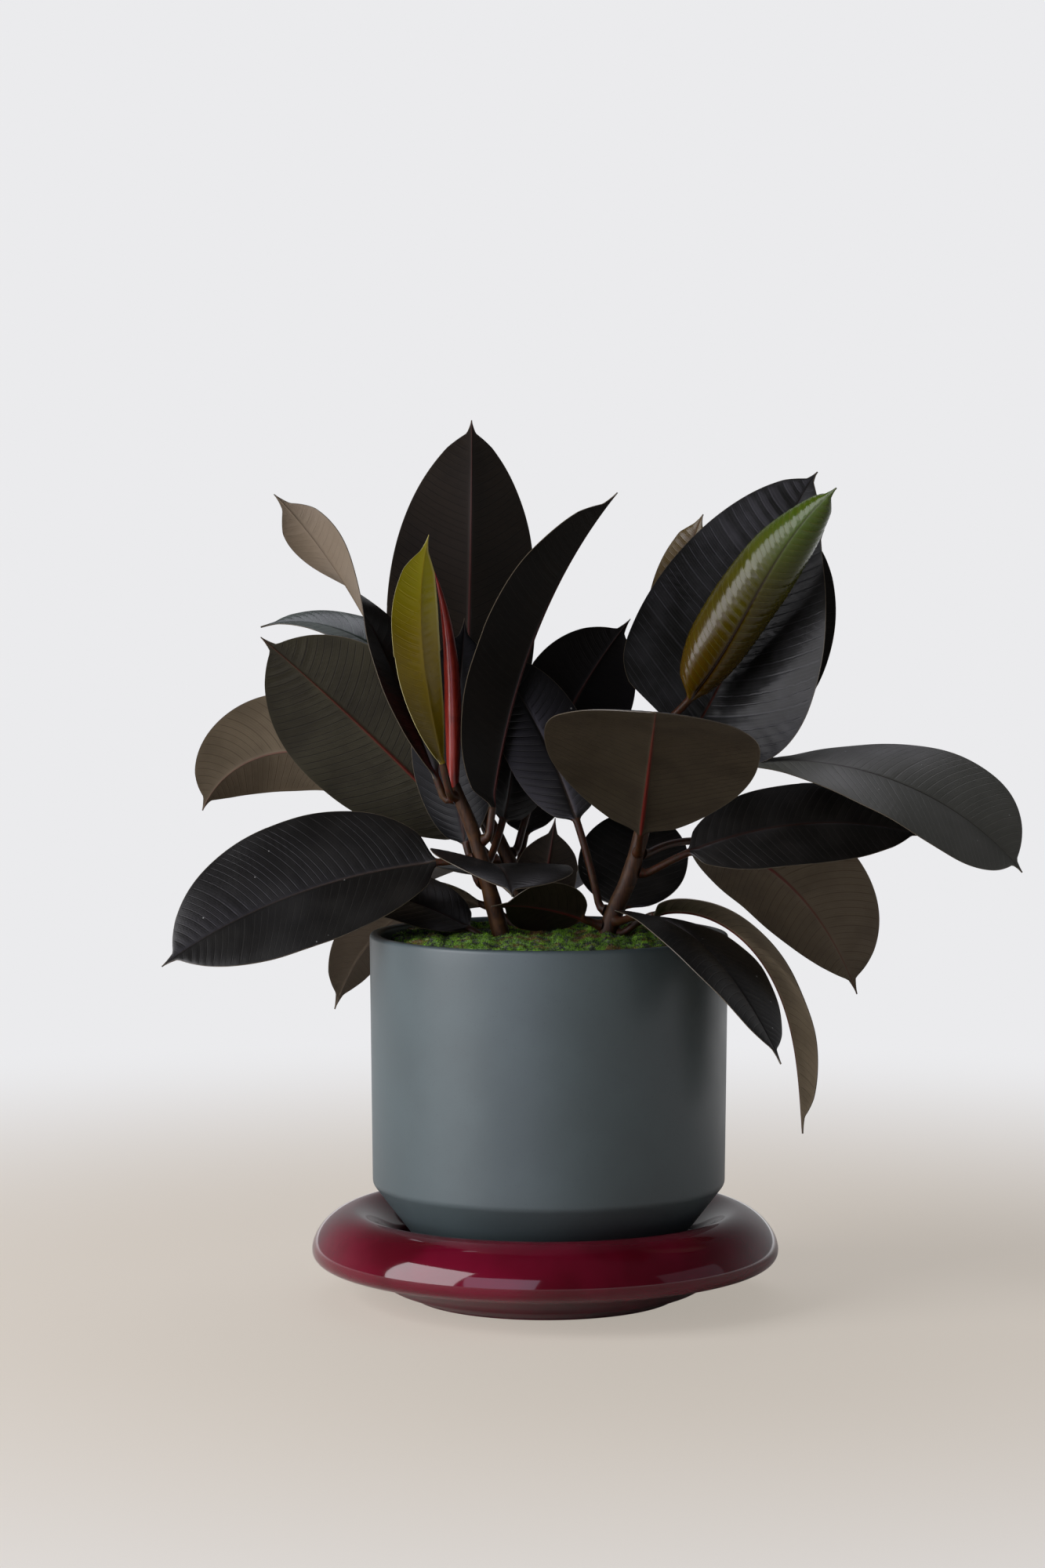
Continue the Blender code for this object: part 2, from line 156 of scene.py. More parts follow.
class Surface(Graph):
    """A material's graph, which ends in its Principled shader."""

    def __init__(self, name: str) -> None:
        """Starts an empty material of this name."""
        self.material = bpy.data.materials.new(name)
        self.material.use_nodes = True
        self.material.node_tree.nodes.clear()
        super().__init__(self.material.node_tree)
        self.place = self.add("ShaderNodeTexCoord", gives="Object")

    def end(
        self, colour: Socket, roughness: Socket | float, height: Socket, relief: float, **fixed: float
    ) -> bpy.types.Material:
        """Ends the material in its shader.

        Args:
            colour: the base colour.
            roughness: a value or a socket.
            height: the relief's shape, from 0 to 1.
            relief: its height in millimetres.
            fixed: values set on the shader's own sockets, named as the sockets are.

        Returns:
            The material.
        """
        bump = self.add("ShaderNodeBump", {}, {"Height": height, "Distance": relief * MM, "Strength": 1.0})
        fills: dict[str | int, object] = {"Base Color": colour, "Roughness": roughness, "Normal": bump}
        fills |= {name.replace("_", " "): value for name, value in fixed.items()}
        shader = self.add("ShaderNodeBsdfPrincipled", {}, fills)
        self.add("ShaderNodeOutputMaterial", {}, {"Surface": shader})
        return self.material


class Recipe(Graph):
    """A Geometry Nodes tree with named inputs, run once on a piece."""

    def __init__(self, name: str, inputs: Mapping[str, tuple[str, object]]) -> None:
        """Starts a tree.

        Args:
            name: the tree's name.
            inputs: each input's name, socket type and value.
        """
        tree = bpy.data.node_groups.new(name, "GeometryNodeTree")
        super().__init__(tree)
        tree.interface.new_socket("Geometry", in_out="INPUT", socket_type="NodeSocketGeometry")
        self.values: dict[str, object] = {}
        for label, (kind, value) in inputs.items():
            socket = tree.interface.new_socket(label, in_out="INPUT", socket_type="NodeSocket" + kind)
            self.values[socket.identifier] = value
        tree.interface.new_socket("Geometry", in_out="OUTPUT", socket_type="NodeSocketGeometry")
        self.start = tree.nodes.new("NodeGroupInput")

    def given(self, label: str) -> Socket:
        """The value that an input brings in."""
        return self.start.outputs[label]

    def end(self, geometry: Socket, material: str) -> None:
        """Ends the tree: instances are made real, and the material is set.

        Args:
            geometry: what the tree has made.
            material: label of the input that brings the material in.
        """
        real = self.add("GeometryNodeRealizeInstances", {}, {"Geometry": geometry})
        finish = {"Geometry": real, "Material": self.given(material)}
        dressed = self.add("GeometryNodeSetMaterial", {}, finish)
        self.add("NodeGroupOutput", {}, {"Geometry": dressed})

    def run(self, source: bpy.types.Object, name: str) -> bpy.types.Object:
        """Runs the tree on an object, and takes the result as a plain mesh.

        Args:
            source: what the tree starts from. It is used up.
            name: the new piece's name.

        Returns:
            The new piece, at the origin and with no modifier.
        """
        modifier = source.modifiers.new("recipe", "NODES")
        modifier.node_group = self.tree
        for identifier, value in self.values.items():
            modifier[identifier] = value
        source.update_tag()
        graph = bpy.context.evaluated_depsgraph_get()
        mesh = bpy.data.meshes.new_from_object(source.evaluated_get(graph), depsgraph=graph)
        mesh.name = name
        bpy.data.objects.remove(source, do_unlink=True)
        return placed(name, mesh)


# --------------------------------------------------------------------------------------
# Meshes
# --------------------------------------------------------------------------------------


def placed(name: str, mesh: bpy.types.Mesh) -> bpy.types.Object:
    """Links a mesh into the scene as an object.

    Args:
        name: the object's name.
        mesh: what it shows.

    Returns:
        The object.
    """
    piece = bpy.data.objects.new(name, mesh)
    bpy.context.scene.collection.objects.link(piece)
    return piece


def built(
    name: str,
    points: np.ndarray,
    faces: Sequence[Sequence[int]],
    materials: Sequence[bpy.types.Material] = (),
    slots: Sequence[int] = (),
    marks: Mapping[str, np.ndarray] | None = None,
    crease: float = 50.0,
) -> bpy.types.Object:
    """Builds a piece from points in millimetres.

    Args:
        name: the piece's name.
        points: one row for each point.
        faces: each face's points, anticlockwise from outside.
        materials: its materials.
        slots: each face's material.
        marks: named values, one for each point.
        crease: the angle from which an edge is sharp, in degrees.

    Returns:
        The piece, at the origin.
    """
    mesh = bpy.data.meshes.new(name)
    mesh.from_pydata((np.asarray(points) * MM).tolist(), [], [list(map(int, f)) for f in faces])
    for material in materials:
        mesh.materials.append(material)
    if len(slots):
        mesh.polygons.foreach_set("material_index", np.asarray(slots, np.int32))
    for mark, values in (marks or {}).items():
        mesh.attributes.new(mark, "FLOAT", "POINT").data.foreach_set("value", np.asarray(values, np.float32))
    mesh.shade_smooth()
    mesh.set_sharp_from_angle(angle=math.radians(crease))
    return placed(name, mesh)


def turn_outwards(piece: bpy.types.Object) -> None:
    """Merges a closed piece's doubled points and points its faces outwards.

    Args:
        piece: the piece, changed in place.
    """
    shape = bmesh.new()
    shape.from_mesh(piece.data)
    bmesh.ops.remove_doubles(shape, verts=shape.verts, dist=1e-6)
    bmesh.ops.recalc_face_normals(shape, faces=shape.faces)
    if shape.calc_volume(signed=True) < 0:
        bmesh.ops.reverse_faces(shape, faces=shape.faces)
    shape.to_mesh(piece.data)
    shape.free()


def hand_over(piece: bpy.types.Object, node: str | None = None) -> None:
    """Gives a finished piece to the frame, and reports it.

    Args:
        piece: the finished piece.
        node: the solid that it stands for.
    """
    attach(piece, BODY)
    if node:
        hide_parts(node)
    piece.data.calc_loop_triangles()
    log.info("%-22s %7d triangles", piece.name, len(piece.data.loop_triangles))


def loft_faces(rows: int, count: int) -> list[tuple[int, ...]]:
    """The faces of a closed skin over rings of points.

    Args:
        rows: how many rings.
        count: points in a ring, anticlockwise as seen from ahead.

    Returns:
        The quads between the rings, row by row, then the two caps.
    """
    faces: list[tuple[int, ...]] = []
    for row in range(rows - 1):
        for k in range(count):
            a, b = row * count + k, row * count + (k + 1) % count
            faces.append((a, a + count, b + count, b))
    faces.append(tuple(range(count)))
    last = (rows - 1) * count
    faces.append(tuple(range(last, last + count))[::-1])
    return faces


def unit(vector: np.ndarray) -> np.ndarray:
    """The vector, or each row of it, at length one."""
    return vector / np.linalg.norm(vector, axis=-1, keepdims=True)


def ripple(place: np.ndarray | float, seed: float) -> np.ndarray:
    """A smooth wave that never quite repeats, from -1 to 1.

    Args:
        place: where along it, in radians of its main wave.
        seed: which wave.

    Returns:
        Its value at each place.
    """
    place = np.asarray(place, float)
    slow = np.sin(0.37 * place + 1.9 * seed)
    return 0.5 * np.sin(place + seed) + 0.3 * np.sin(1.73 * place + 2.3 * seed) + 0.2 * slow


def along(values: Sequence[float], share: np.ndarray) -> np.ndarray:
    """A value that runs evenly from the first to the last, through a middle one if given.

    Args:
        values: two values, or three for a bowed run.
        share: how far along each place lies, from 0 to 1.

    Returns:
        The value at each place.
    """
    start, end = values[0], values[-1]
    bow = 0.0 if len(values) == 2 else values[1] - (start + end) / 2
    return start + (end - start) * share + 4 * bow * share * (1 - share)


# --------------------------------------------------------------------------------------
# Finishes
# --------------------------------------------------------------------------------------


@dataclass(frozen=True)
class LeafSkin:
    """One face of a rubber plant leaf: a waxed cuticle over thick flesh.

    The eye gets a satin sheen, close-set side veins that run off a coloured midrib, and a thin
    pale margin. Foot and head are the colours towards the petiole and the tip of a young leaf,
    contrast is how far the veins stand out, and flecks is the share of places where a drop of
    sap has dried.
    """

    name: str
    ground: str
    vein: str
    rib: str
    edge: str = "#5f5648"
    roughness: float = 0.4
    relief: float = 0.10
    coat: float = 0.0
    flecks: float = 0.0
    contrast: float = 0.6
    specular: float = 0.35
    foot: str = ""
    head: str = ""

    def material(self) -> bpy.types.Material:
        """Builds the skin, or returns the one built before.

        Returns:
            The material.
        """
        if self.name in bpy.data.materials:
            return bpy.data.materials[self.name]
        skin = Surface(self.name)
        mark = {m: skin.add("ShaderNodeAttribute", {"attribute_name": m}, gives="Fac") for m in LEAF_MARKS}
        # Older flesh clouds over in patches about 20 mm across. On the skins with painted sheen, these
        # patches are painted sheen as well.
        patches = {"Vector": skin.place, "Scale": 1 / (20 * MM), "Detail": 3.0}
        cloud = skin.add("ShaderNodeTexNoise", {}, patches, "Fac")
        share = {"Value": cloud, "From Min": 0.35, "From Max": 0.75, "To Max": 0.55}
        share = skin.add("ShaderNodeMapRange", SMOOTH, share)
        colours = {"Factor_Float": share, "A_Color": self.ground, "B_Color": self.vein}
        colour = skin.add("ShaderNodeMix", RGBA, colours, "Result_Color")
        strong, fine = self.veins(skin, mark)
        clear = skin.add("ShaderNodeMath", TIMES, {0: strong, 1: self.contrast})
        faint = skin.add("ShaderNodeMath", TIMES, {0: fine, 1: self.contrast * 0.3})
        rib = skin.add("ShaderNodeMapRange", SMOOTH, {"Value": mark["rib"], "From Min": 0.8, "From Max": 0.4})
        fading = {"Value": mark["along"], "From Min": 0.15, "From Max": 1.0, "To Min": 1.0, "To Max": 0.35}
        fading = skin.add("ShaderNodeMapRange", SMOOTH, fading)
        rib = skin.add("ShaderNodeMath", TIMES, {0: rib, 1: fading})
        hem = {"Value": mark["edge"], "From Min": 0.55, "From Max": 0.15, "To Max": 0.9}
        hem = skin.add("ShaderNodeMapRange", SMOOTH, hem)
        layers = [(clear, self.vein), (faint, self.vein), (rib, self.rib), (hem, self.edge)]
        if self.foot:
            near = {"Value": mark["along"], "From Min": 0.55, "From Max": 0.02}
            layers.insert(0, (skin.add("ShaderNodeMapRange", SMOOTH, near), self.foot))
        if self.head:
            far = {"Value": mark["along"], "From Min": 0.45, "From Max": 0.85}
            layers.insert(0, (skin.add("ShaderNodeMapRange", SMOOTH, far), self.head))
        if self.flecks:
            layers.append((self.sap(skin), "#c9cbc8"))
        for share, over in layers:
            colours = {"Factor_Float": share, "A_Color": colour, "B_Color": over}
            colour = skin.add("ShaderNodeMix", RGBA, colours, "Result_Color")
        # Skin cells are too fine to show, so the grain is drawn 0.5 mm across.
        grain = {"Vector": skin.place, "Scale": 1 / (0.5 * MM), "Detail": 2.0}
        grain = skin.add("ShaderNodeTexNoise", {}, grain, "Fac")
        height = skin.add("ShaderNodeMath", TIMES_PLUS, {0: strong, 1: -0.6, 2: 0.6})
        height = skin.add("ShaderNodeMath", TIMES_PLUS, {0: fine, 1: -0.12, 2: height})
        height = skin.add("ShaderNodeMath", TIMES_PLUS, {0: grain, 1: 0.12, 2: height})
        # Wax wears in smears about 35 mm long.
        smears = {"Vector": skin.place, "Scale": 1 / (35 * MM), "Detail": 4.0}
        smears = skin.add("ShaderNodeTexNoise", {}, smears, "Fac")
        gloss = {"Value": smears, "From Min": 0.3, "From Max": 0.7}
        gloss |= {"To Min": self.roughness - 0.05, "To Max": self.roughness + 0.07}
        rough = skin.add("ShaderNodeMapRange", SMOOTH, gloss)
        shine = {"Coat_Weight": self.coat, "Coat_Roughness": 0.12, "Specular_IOR_Level": self.specular}
        return skin.end(colour, rough, height, self.relief, **shine)

    @staticmethod
    def veins(skin: Surface, mark: Mapping[str, Socket]) -> tuple[Socket, Socket]:
        """Side veins from their count along the leaf, four fine ones to each strong one.

        Args:
            skin: the graph.
            mark: the leaf's own values.

        Returns:
            Where the strong and the fine veins lie, from 0 to 1.
        """
        away = {"Value": mark["across"], "From Min": 0.6, "From Max": 4.0}
        away = skin.add("ShaderNodeMapRange", SMOOTH, away)
        inner = {"Value": mark["edge"], "From Min": 0.6, "From Max": 5.0}
        inner = skin.add("ShaderNodeMapRange", SMOOTH, inner)
        inside = skin.add("ShaderNodeMath", TIMES, {0: away, 1: inner})
        lines = []
        for count, width in ((1.0, 0.11), (4.0, 0.3)):
            turn = skin.add("ShaderNodeMath", TIMES, {0: mark["vein"], 1: count})
            near = skin.add("ShaderNodeMath", {"operation": "PINGPONG"}, {0: turn, 1: 0.5})
            line = skin.add("ShaderNodeMapRange", SMOOTH, {"Value": near, "From Min": width, "From Max": 0.0})
            lines.append(skin.add("ShaderNodeMath", TIMES, {0: line, 1: inside}))
        return lines[0], lines[1]

    def sap(self, skin: Surface) -> Socket:
        """White specks of dried sap about 1 mm across, scattered in cells of 7 mm.

        Args:
            skin: the graph.

        Returns:
            Where they lie, from 0 to 1.
        """
        cells = {"Vector": skin.place, "Scale": 1 / (7 * MM)}
        cells = skin.add("ShaderNodeTexVoronoi", {}, cells, "Distance")
        kind = skin.add("ShaderNodeSeparateColor", {}, {"Color": cells.node.outputs["Color"]})
        chosen = skin.add("ShaderNodeMath", {"operation": "LESS_THAN"}, {0: kind, 1: self.flecks})
        drop = {"Value": cells, "From Min": 0.1, "From Max": 0.045, "To Max": 0.75}
        drop = skin.add("ShaderNodeMapRange", SMOOTH, drop)
        return skin.add("ShaderNodeMath", TIMES, {0: chosen, 1: drop})


LEAF_MARKS = ("vein", "across", "edge", "rib", "along")


class Upper(Enum):
    """The upper faces of the leaves, by age and place. Three of them carry painted sheen in their colours."""

    DARK = LeafSkin("upper_dark", "#151412", "#2d2a28", "#2c1a15", roughness=0.33)
    SHADE = LeafSkin("upper_shade", "#131314", "#222226", "#2a1813", roughness=0.4, specular=0.12)
    DUSTY = LeafSkin("upper_dusty", "#141312", "#272624", "#332a23", roughness=0.36, flecks=0.2)
    # A near-black leaf given a greyed ground and grey veins that stand for its satin sheen: painted sheen.
    GREY_PAINTED_SHEEN = LeafSkin("upper_grey_painted_sheen", "#242423", "#454548", "#3a1e18", roughness=0.22, specular=0.11)
    # A dark leaf given a pale grey ground and veins: dust on it, and painted sheen.
    DUST_AND_PAINTED_SHEEN = LeafSkin("upper_dust_and_painted_sheen", "#5d5e57", "#6c6c66", "#2b231c", roughness=0.42, flecks=0.12)
    # A dark green leaf whose pale veins and patches stand for streaks of sheen: painted sheen.
    PAINTED_SHEEN_STREAKS = LeafSkin("upper_painted_sheen_streaks", "#26362c", "#6f7d74", "#4a5148", roughness=0.30, coat=0.2)
    YOUNG = LeafSkin(
        "upper_young", "#6a5604", "#7d6a16", "#6a5604", "#a8a070", 0.26,
        coat=0.15, contrast=0.3, foot="#5c4a03", head="#665c0c",
    )
    UNROLLED = LeafSkin(
        "upper_unrolled", "#3f3802", "#54520e", "#241002", "#5c6030", 0.22,
        coat=0.18, specular=0.25, foot="#4f3601", head="#42560d",
    )
    BROWN = LeafSkin("upper_brown", "#54431f", "#6a5830", "#5a2c17", roughness=0.34, coat=0.1)


class Under(Enum):
    """The lower faces of the leaves. Two are copies made for leaves in shade: one darkened, painted shade,
    and one lightened, painted light.
    """

    BROWN = LeafSkin("under_brown", "#2a2219", "#18130d", "#4c1a14", roughness=0.55, specular=0.2)
    # A near-black underside for leaves deep in the plant's shade: painted shade.
    PAINTED_SHADE = LeafSkin("under_painted_shade", "#0d0a06", "#17120c", "#3c1510", roughness=0.52, specular=0.15)
    OLIVE = LeafSkin(
        "under_olive", "#3a3729", "#1f1b13", "#5a1f18", roughness=0.52, specular=0.2, contrast=0.95
    )
    TAUPE = LeafSkin(
        "under_taupe", "#706451", "#524838", "#642820", roughness=0.58, specular=0.25, contrast=0.8
    )
    FAN = LeafSkin(
        "under_fan", "#453d30", "#312920", "#64211a", roughness=0.55, specular=0.2, contrast=0.8
    )
    # A lighter copy of the taupe underside, for leaves that sit in shade: painted light.
    TAUPE_PAINTED_LIGHT = LeafSkin("under_taupe_painted_light", "#7a6d5d", "#6c604f", "#57493b", roughness=0.6, specular=0.25)
    YOUNG = LeafSkin(
        "under_young", "#8c7600", "#98840c", "#8c7600", "#9a9050", 0.26,
        coat=0.12, contrast=0.3, foot="#776400", head="#857e02",
    )


@dataclass(frozen=True)
class Grown:
    """A skin with three colours and one grain: bark, petiole skin or a bud's scale.

    The eye gets a ground colour streaked lengthwise and flushed with a third colour in clouds.
    Streak and cloud are their widths in millimetres, and stretch is how many times longer than
    wide a streak is.
    """

    name: str
    ground: str
    streaked: str
    flush: str
    roughness: float
    streak: float
    stretch: float
    cloud: float
    relief: float
    coat: float = 0.0

    def material(self) -> bpy.types.Material:
        """Builds the skin, or returns the one built before.

        Returns:
            The material.
        """
        if self.name in bpy.data.materials:
            return bpy.data.materials[self.name]
        bark = Surface(self.name)
        long = {"Vector": bark.place, "Scale": (1.0, 1.0, 1 / self.stretch)}
        long = bark.add("ShaderNodeMapping", {}, long)
        grain = {"Vector": long, "Scale": 1 / (self.streak * MM), "Detail": 3.0}
        grain = bark.add("ShaderNodeTexNoise", {}, grain, "Fac")
        patches = {"Vector": bark.place, "Scale": 1 / (self.cloud * MM), "Detail": 3.0}
        patches = bark.add("ShaderNodeTexNoise", {}, patches, "Fac")
        colour: Socket | str = self.ground
        for value, low, high, over in ((grain, 0.38, 0.68, self.streaked), (patches, 0.48, 0.72, self.flush)):
            share = {"Value": value, "From Min": low, "From Max": high, "To Max": 0.75}
            share = bark.add("ShaderNodeMapRange", SMOOTH, share)
            colours = {"Factor_Float": share, "A_Color": colour, "B_Color": over}
            colour = bark.add("ShaderNodeMix", RGBA, colours, "Result_Color")
        shine = {"Specular_IOR_Level": 0.3, "Coat_Weight": self.coat, "Coat_Roughness": 0.2}
        return bark.end(colour, self.roughness, grain, self.relief, **shine)


# Young bark: smooth orange-brown cork with grey-green bloom, a satin that is nearly matt.
BARK = Grown("young_bark", "#43260a", "#221407", "#5a3a18", 0.55, streak=1.1, stretch=8, cloud=8, relief=0.12)
# Leaf stalks: smooth green-brown skin flushed red.
PETIOLE = Grown(
    "petiole_skin", "#33220e", "#4a180b", "#4a3116", 0.46, streak=0.9, stretch=5, cloud=6, relief=0.05
)
# The bud's scale: thin waxy crimson skin, finely streaked, with a soft clear shine.
BUD_SCALE = Grown(
    "bud_scale", "#8e2419", "#a83c2f", "#651a12", 0.3,
    streak=0.9, stretch=16, cloud=9, relief=0.06, coat=0.25,
)


@dataclass(frozen=True)
class Stoneware:
    """Slate-grey engobe brushed on fired stoneware: an even satin skin with a faint mottle."""

    name: str = "slate_engobe"
    ground: str = "#515d60"
    light: str = "#5a686b"
    speck: str = "#424c4f"
    roughness: float = 0.4

    def material(self) -> bpy.types.Material:
        """Builds the pot's finish: clouds 45 mm wide, and grit 0.7 mm across.

        Returns:
            The material.
        """
        clay = Surface(self.name)
        clouds = {"Vector": clay.place, "Scale": 1 / (45 * MM), "Detail": 4.0}
        clouds = clay.add("ShaderNodeTexNoise", {}, clouds, "Fac")
        grit = {"Vector": clay.place, "Scale": 1 / (0.7 * MM), "Detail": 2.0}
        grit = clay.add("ShaderNodeTexNoise", {}, grit, "Fac")
        colour: Socket | str = self.ground
        for value, low, high, over in ((clouds, 0.35, 0.7, self.light), (grit, 0.62, 0.78, self.speck)):
            share = {"Value": value, "From Min": low, "From Max": high, "To Max": 0.5}
            share = clay.add("ShaderNodeMapRange", SMOOTH, share)
            colours = {"Factor_Float": share, "A_Color": colour, "B_Color": over}
            colour = clay.add("ShaderNodeMix", RGBA, colours, "Result_Color")
        height = clay.add("ShaderNodeMath", TIMES_PLUS, {0: grit, 1: 0.6, 2: clouds})
        gloss = {"Value": clouds, "From Min": 0.3, "From Max": 0.7}
        gloss |= {"To Min": self.roughness - 0.03, "To Max": self.roughness + 0.05}
        rough = clay.add("ShaderNodeMapRange", SMOOTH, gloss)
        return clay.end(colour, rough, height, 0.035)


@dataclass(frozen=True)
class BurgundyGlaze:
    """Thick burgundy glaze fired to glass: deep colour under a mirror-clear coat."""

    name: str = "burgundy_glaze"
    ground: str = "#720d28"
    deep: str = "#570819"
    roughness: float = 0.09

    def material(self) -> bpy.types.Material:
        """Builds the saucer's finish: colour pools 55 mm wide, on a skin that sways in 30 mm waves.

        Returns:
            The material.
        """
        glaze = Surface(self.name)
        pools = {"Vector": glaze.place, "Scale": 1 / (55 * MM), "Detail": 3.0}
        pools = glaze.add("ShaderNodeTexNoise", {}, pools, "Fac")
        share = glaze.add("ShaderNodeMapRange", SMOOTH, {"Value": pools, "From Min": 0.35, "From Max": 0.7})
        colours = {"Factor_Float": share, "A_Color": self.ground, "B_Color": self.deep}
        colour = glaze.add("ShaderNodeMix", RGBA, colours, "Result_Color")
        waves = {"Vector": glaze.place, "Scale": 1 / (30 * MM), "Detail": 1.0}
        waves = glaze.add("ShaderNodeTexNoise", {}, waves, "Fac")
        shine = {"Specular_IOR_Level": 0.3, "Coat_Weight": 0.5, "Coat_Roughness": 0.03}
        return glaze.end(colour, self.roughness, waves, 0.12, **shine)


@dataclass(frozen=True)
class Peat:
    """Moist potting soil: near-black peat with lighter fibres and bark crumbs."""

    name: str = "peat"
    ground: str = "#1d140d"
    light: str = "#3b2a1b"

    def material(self) -> bpy.types.Material:
        """Builds the soil's finish: blotches 2.5 mm wide and crumbs of 0.6 mm.

        Returns:
            The material.
        """
        peat = Surface(self.name)
        tint = peat.add("ShaderNodeAttribute", {"attribute_name": "tint"}, gives="Fac")
        blotches = {"Vector": peat.place, "Scale": 1 / (2.5 * MM), "Detail": 3.0}
        blotches = peat.add("ShaderNodeTexNoise", {}, blotches, "Fac")
        share = peat.add("ShaderNodeMapRange", SMOOTH, {"Value": blotches, "From Min": 0.3, "From Max": 0.7})
        share = peat.add("ShaderNodeMath", TIMES, {0: tint, 1: share})
        colours = {"Factor_Float": share, "A_Color": self.ground, "B_Color": self.light}
        colour = peat.add("ShaderNodeMix", RGBA, colours, "Result_Color")
        crumbs = {"Vector": peat.place, "Scale": 1 / (0.6 * MM), "Detail": 2.0}
        crumbs = peat.add("ShaderNodeTexNoise", {}, crumbs, "Fac")
        return peat.end(colour, 0.95, crumbs, 0.3)


@dataclass(frozen=True)
class SheetMoss:
    """Living sheet moss: green fronds, yellow tips with painted highlight, brown where it parts, painted
    shade between tufts.
    """

    name: str = "sheet_moss"
    # deep is the green between the tufts and stands for the shade in their gaps, as painted shade. tip is
    # partly the moss's own yellow growth and partly painted highlight.
    deep: str = "#142601"
    ground: str = "#78ac06"
    tip: str = "#e0ec20"
    dead: str = "#754a14"

    def material(self) -> bpy.types.Material:
        """Builds the moss's finish: tufts 4 mm wide, and brown places about 13 mm wide.

        Returns:
            The material.
        """
        moss = Surface(self.name)
        tint = moss.add("ShaderNodeAttribute", {"attribute_name": "tint"}, gives="Fac")
        tufts = {"Vector": moss.place, "Scale": 1 / (4 * MM), "Detail": 3.0}
        tufts = moss.add("ShaderNodeTexNoise", {}, tufts, "Fac")
        places = {"Vector": moss.place, "Scale": 1 / (13 * MM), "Detail": 3.0}
        places = moss.add("ShaderNodeTexNoise", {}, places, "Fac")
        # The dark green between tufts is painted shade. The yellow on fronds picked at random is partly their
        # own colour and partly painted highlight.
        colour: Socket | str = self.deep
        layers = (
            (tufts, 0.4, 0.58, 1.0, self.ground),
            (tint, 0.45, 1.0, 0.85, self.tip),
            (places, 0.53, 0.64, 0.85, self.dead),
        )
        for value, low, high, most, over in layers:
            share = {"Value": value, "From Min": low, "From Max": high, "To Max": most}
            share = moss.add("ShaderNodeMapRange", SMOOTH, share)
            colours = {"Factor_Float": share, "A_Color": colour, "B_Color": over}
            colour = moss.add("ShaderNodeMix", RGBA, colours, "Result_Color")
        # Leaflets 0.7 mm long break the light up.
        leaflets = {"Vector": moss.place, "Scale": 1 / (0.7 * MM), "Detail": 3.0}
        leaflets = moss.add("ShaderNodeTexNoise", {}, leaflets, "Fac")
        return moss.end(colour, 0.9, leaflets, 0.3, Sheen_Weight=0.25, Sheen_Roughness=0.5)


# --------------------------------------------------------------------------------------
# Stems and leaves
# --------------------------------------------------------------------------------------


class StipuleScars(Recipe):
    """Rings round a stem where its old bud scales sat, spaced along the stem's own line."""

    def __init__(self, spacing: float, thickness: float, seed: int, bark: bpy.types.Material) -> None:
        """Builds the tree.

        Args:
            spacing: from ring to ring, in metres.
            thickness: half a ring's thickness, as a share of the stem's radius.
            seed: which rings are the bigger ones.
            bark: their material.
        """
        inputs = {
            "Spacing": ("Float", spacing),
            "Ring Thickness": ("Float", thickness),
            "Seed": ("Int", seed),
            "Bark": ("Material", bark),
        }
        super().__init__("stipule_scars", inputs)
        line = self.add("GeometryNodeMeshToCurve", {}, {"Mesh": self.given("Geometry")})
        stops = {"Curve": line, "Length": self.given("Spacing")}
        stops = self.add("GeometryNodeCurveToPoints", {"mode": "LENGTH"}, stops)
        circle = self.add("GeometryNodeCurvePrimitiveCircle", {}, {"Resolution": 22, "Radius": 1.0})
        section = {"Resolution": 6, "Radius": self.given("Ring Thickness")}
        section = self.add("GeometryNodeCurvePrimitiveCircle", {}, section)
        ring = self.add("GeometryNodeCurveToMesh", {}, {"Curve": circle, "Profile Curve": section})
        girth = self.add("GeometryNodeInputNamedAttribute", VALUE, {"Name": "girth"}, "Attribute")
        chance = {"Min": 0.97, "Max": 1.05, "Seed": self.given("Seed")}
        chance = self.add("FunctionNodeRandomValue", VALUE, chance)
        size = self.add("ShaderNodeMath", TIMES, {0: girth, 1: chance})
        rings = {"Points": stops, "Instance": ring, "Rotation": stops.node.outputs["Rotation"], "Scale": size}
        self.end(self.add("GeometryNodeInstanceOnPoints", {}, rings), "Bark")


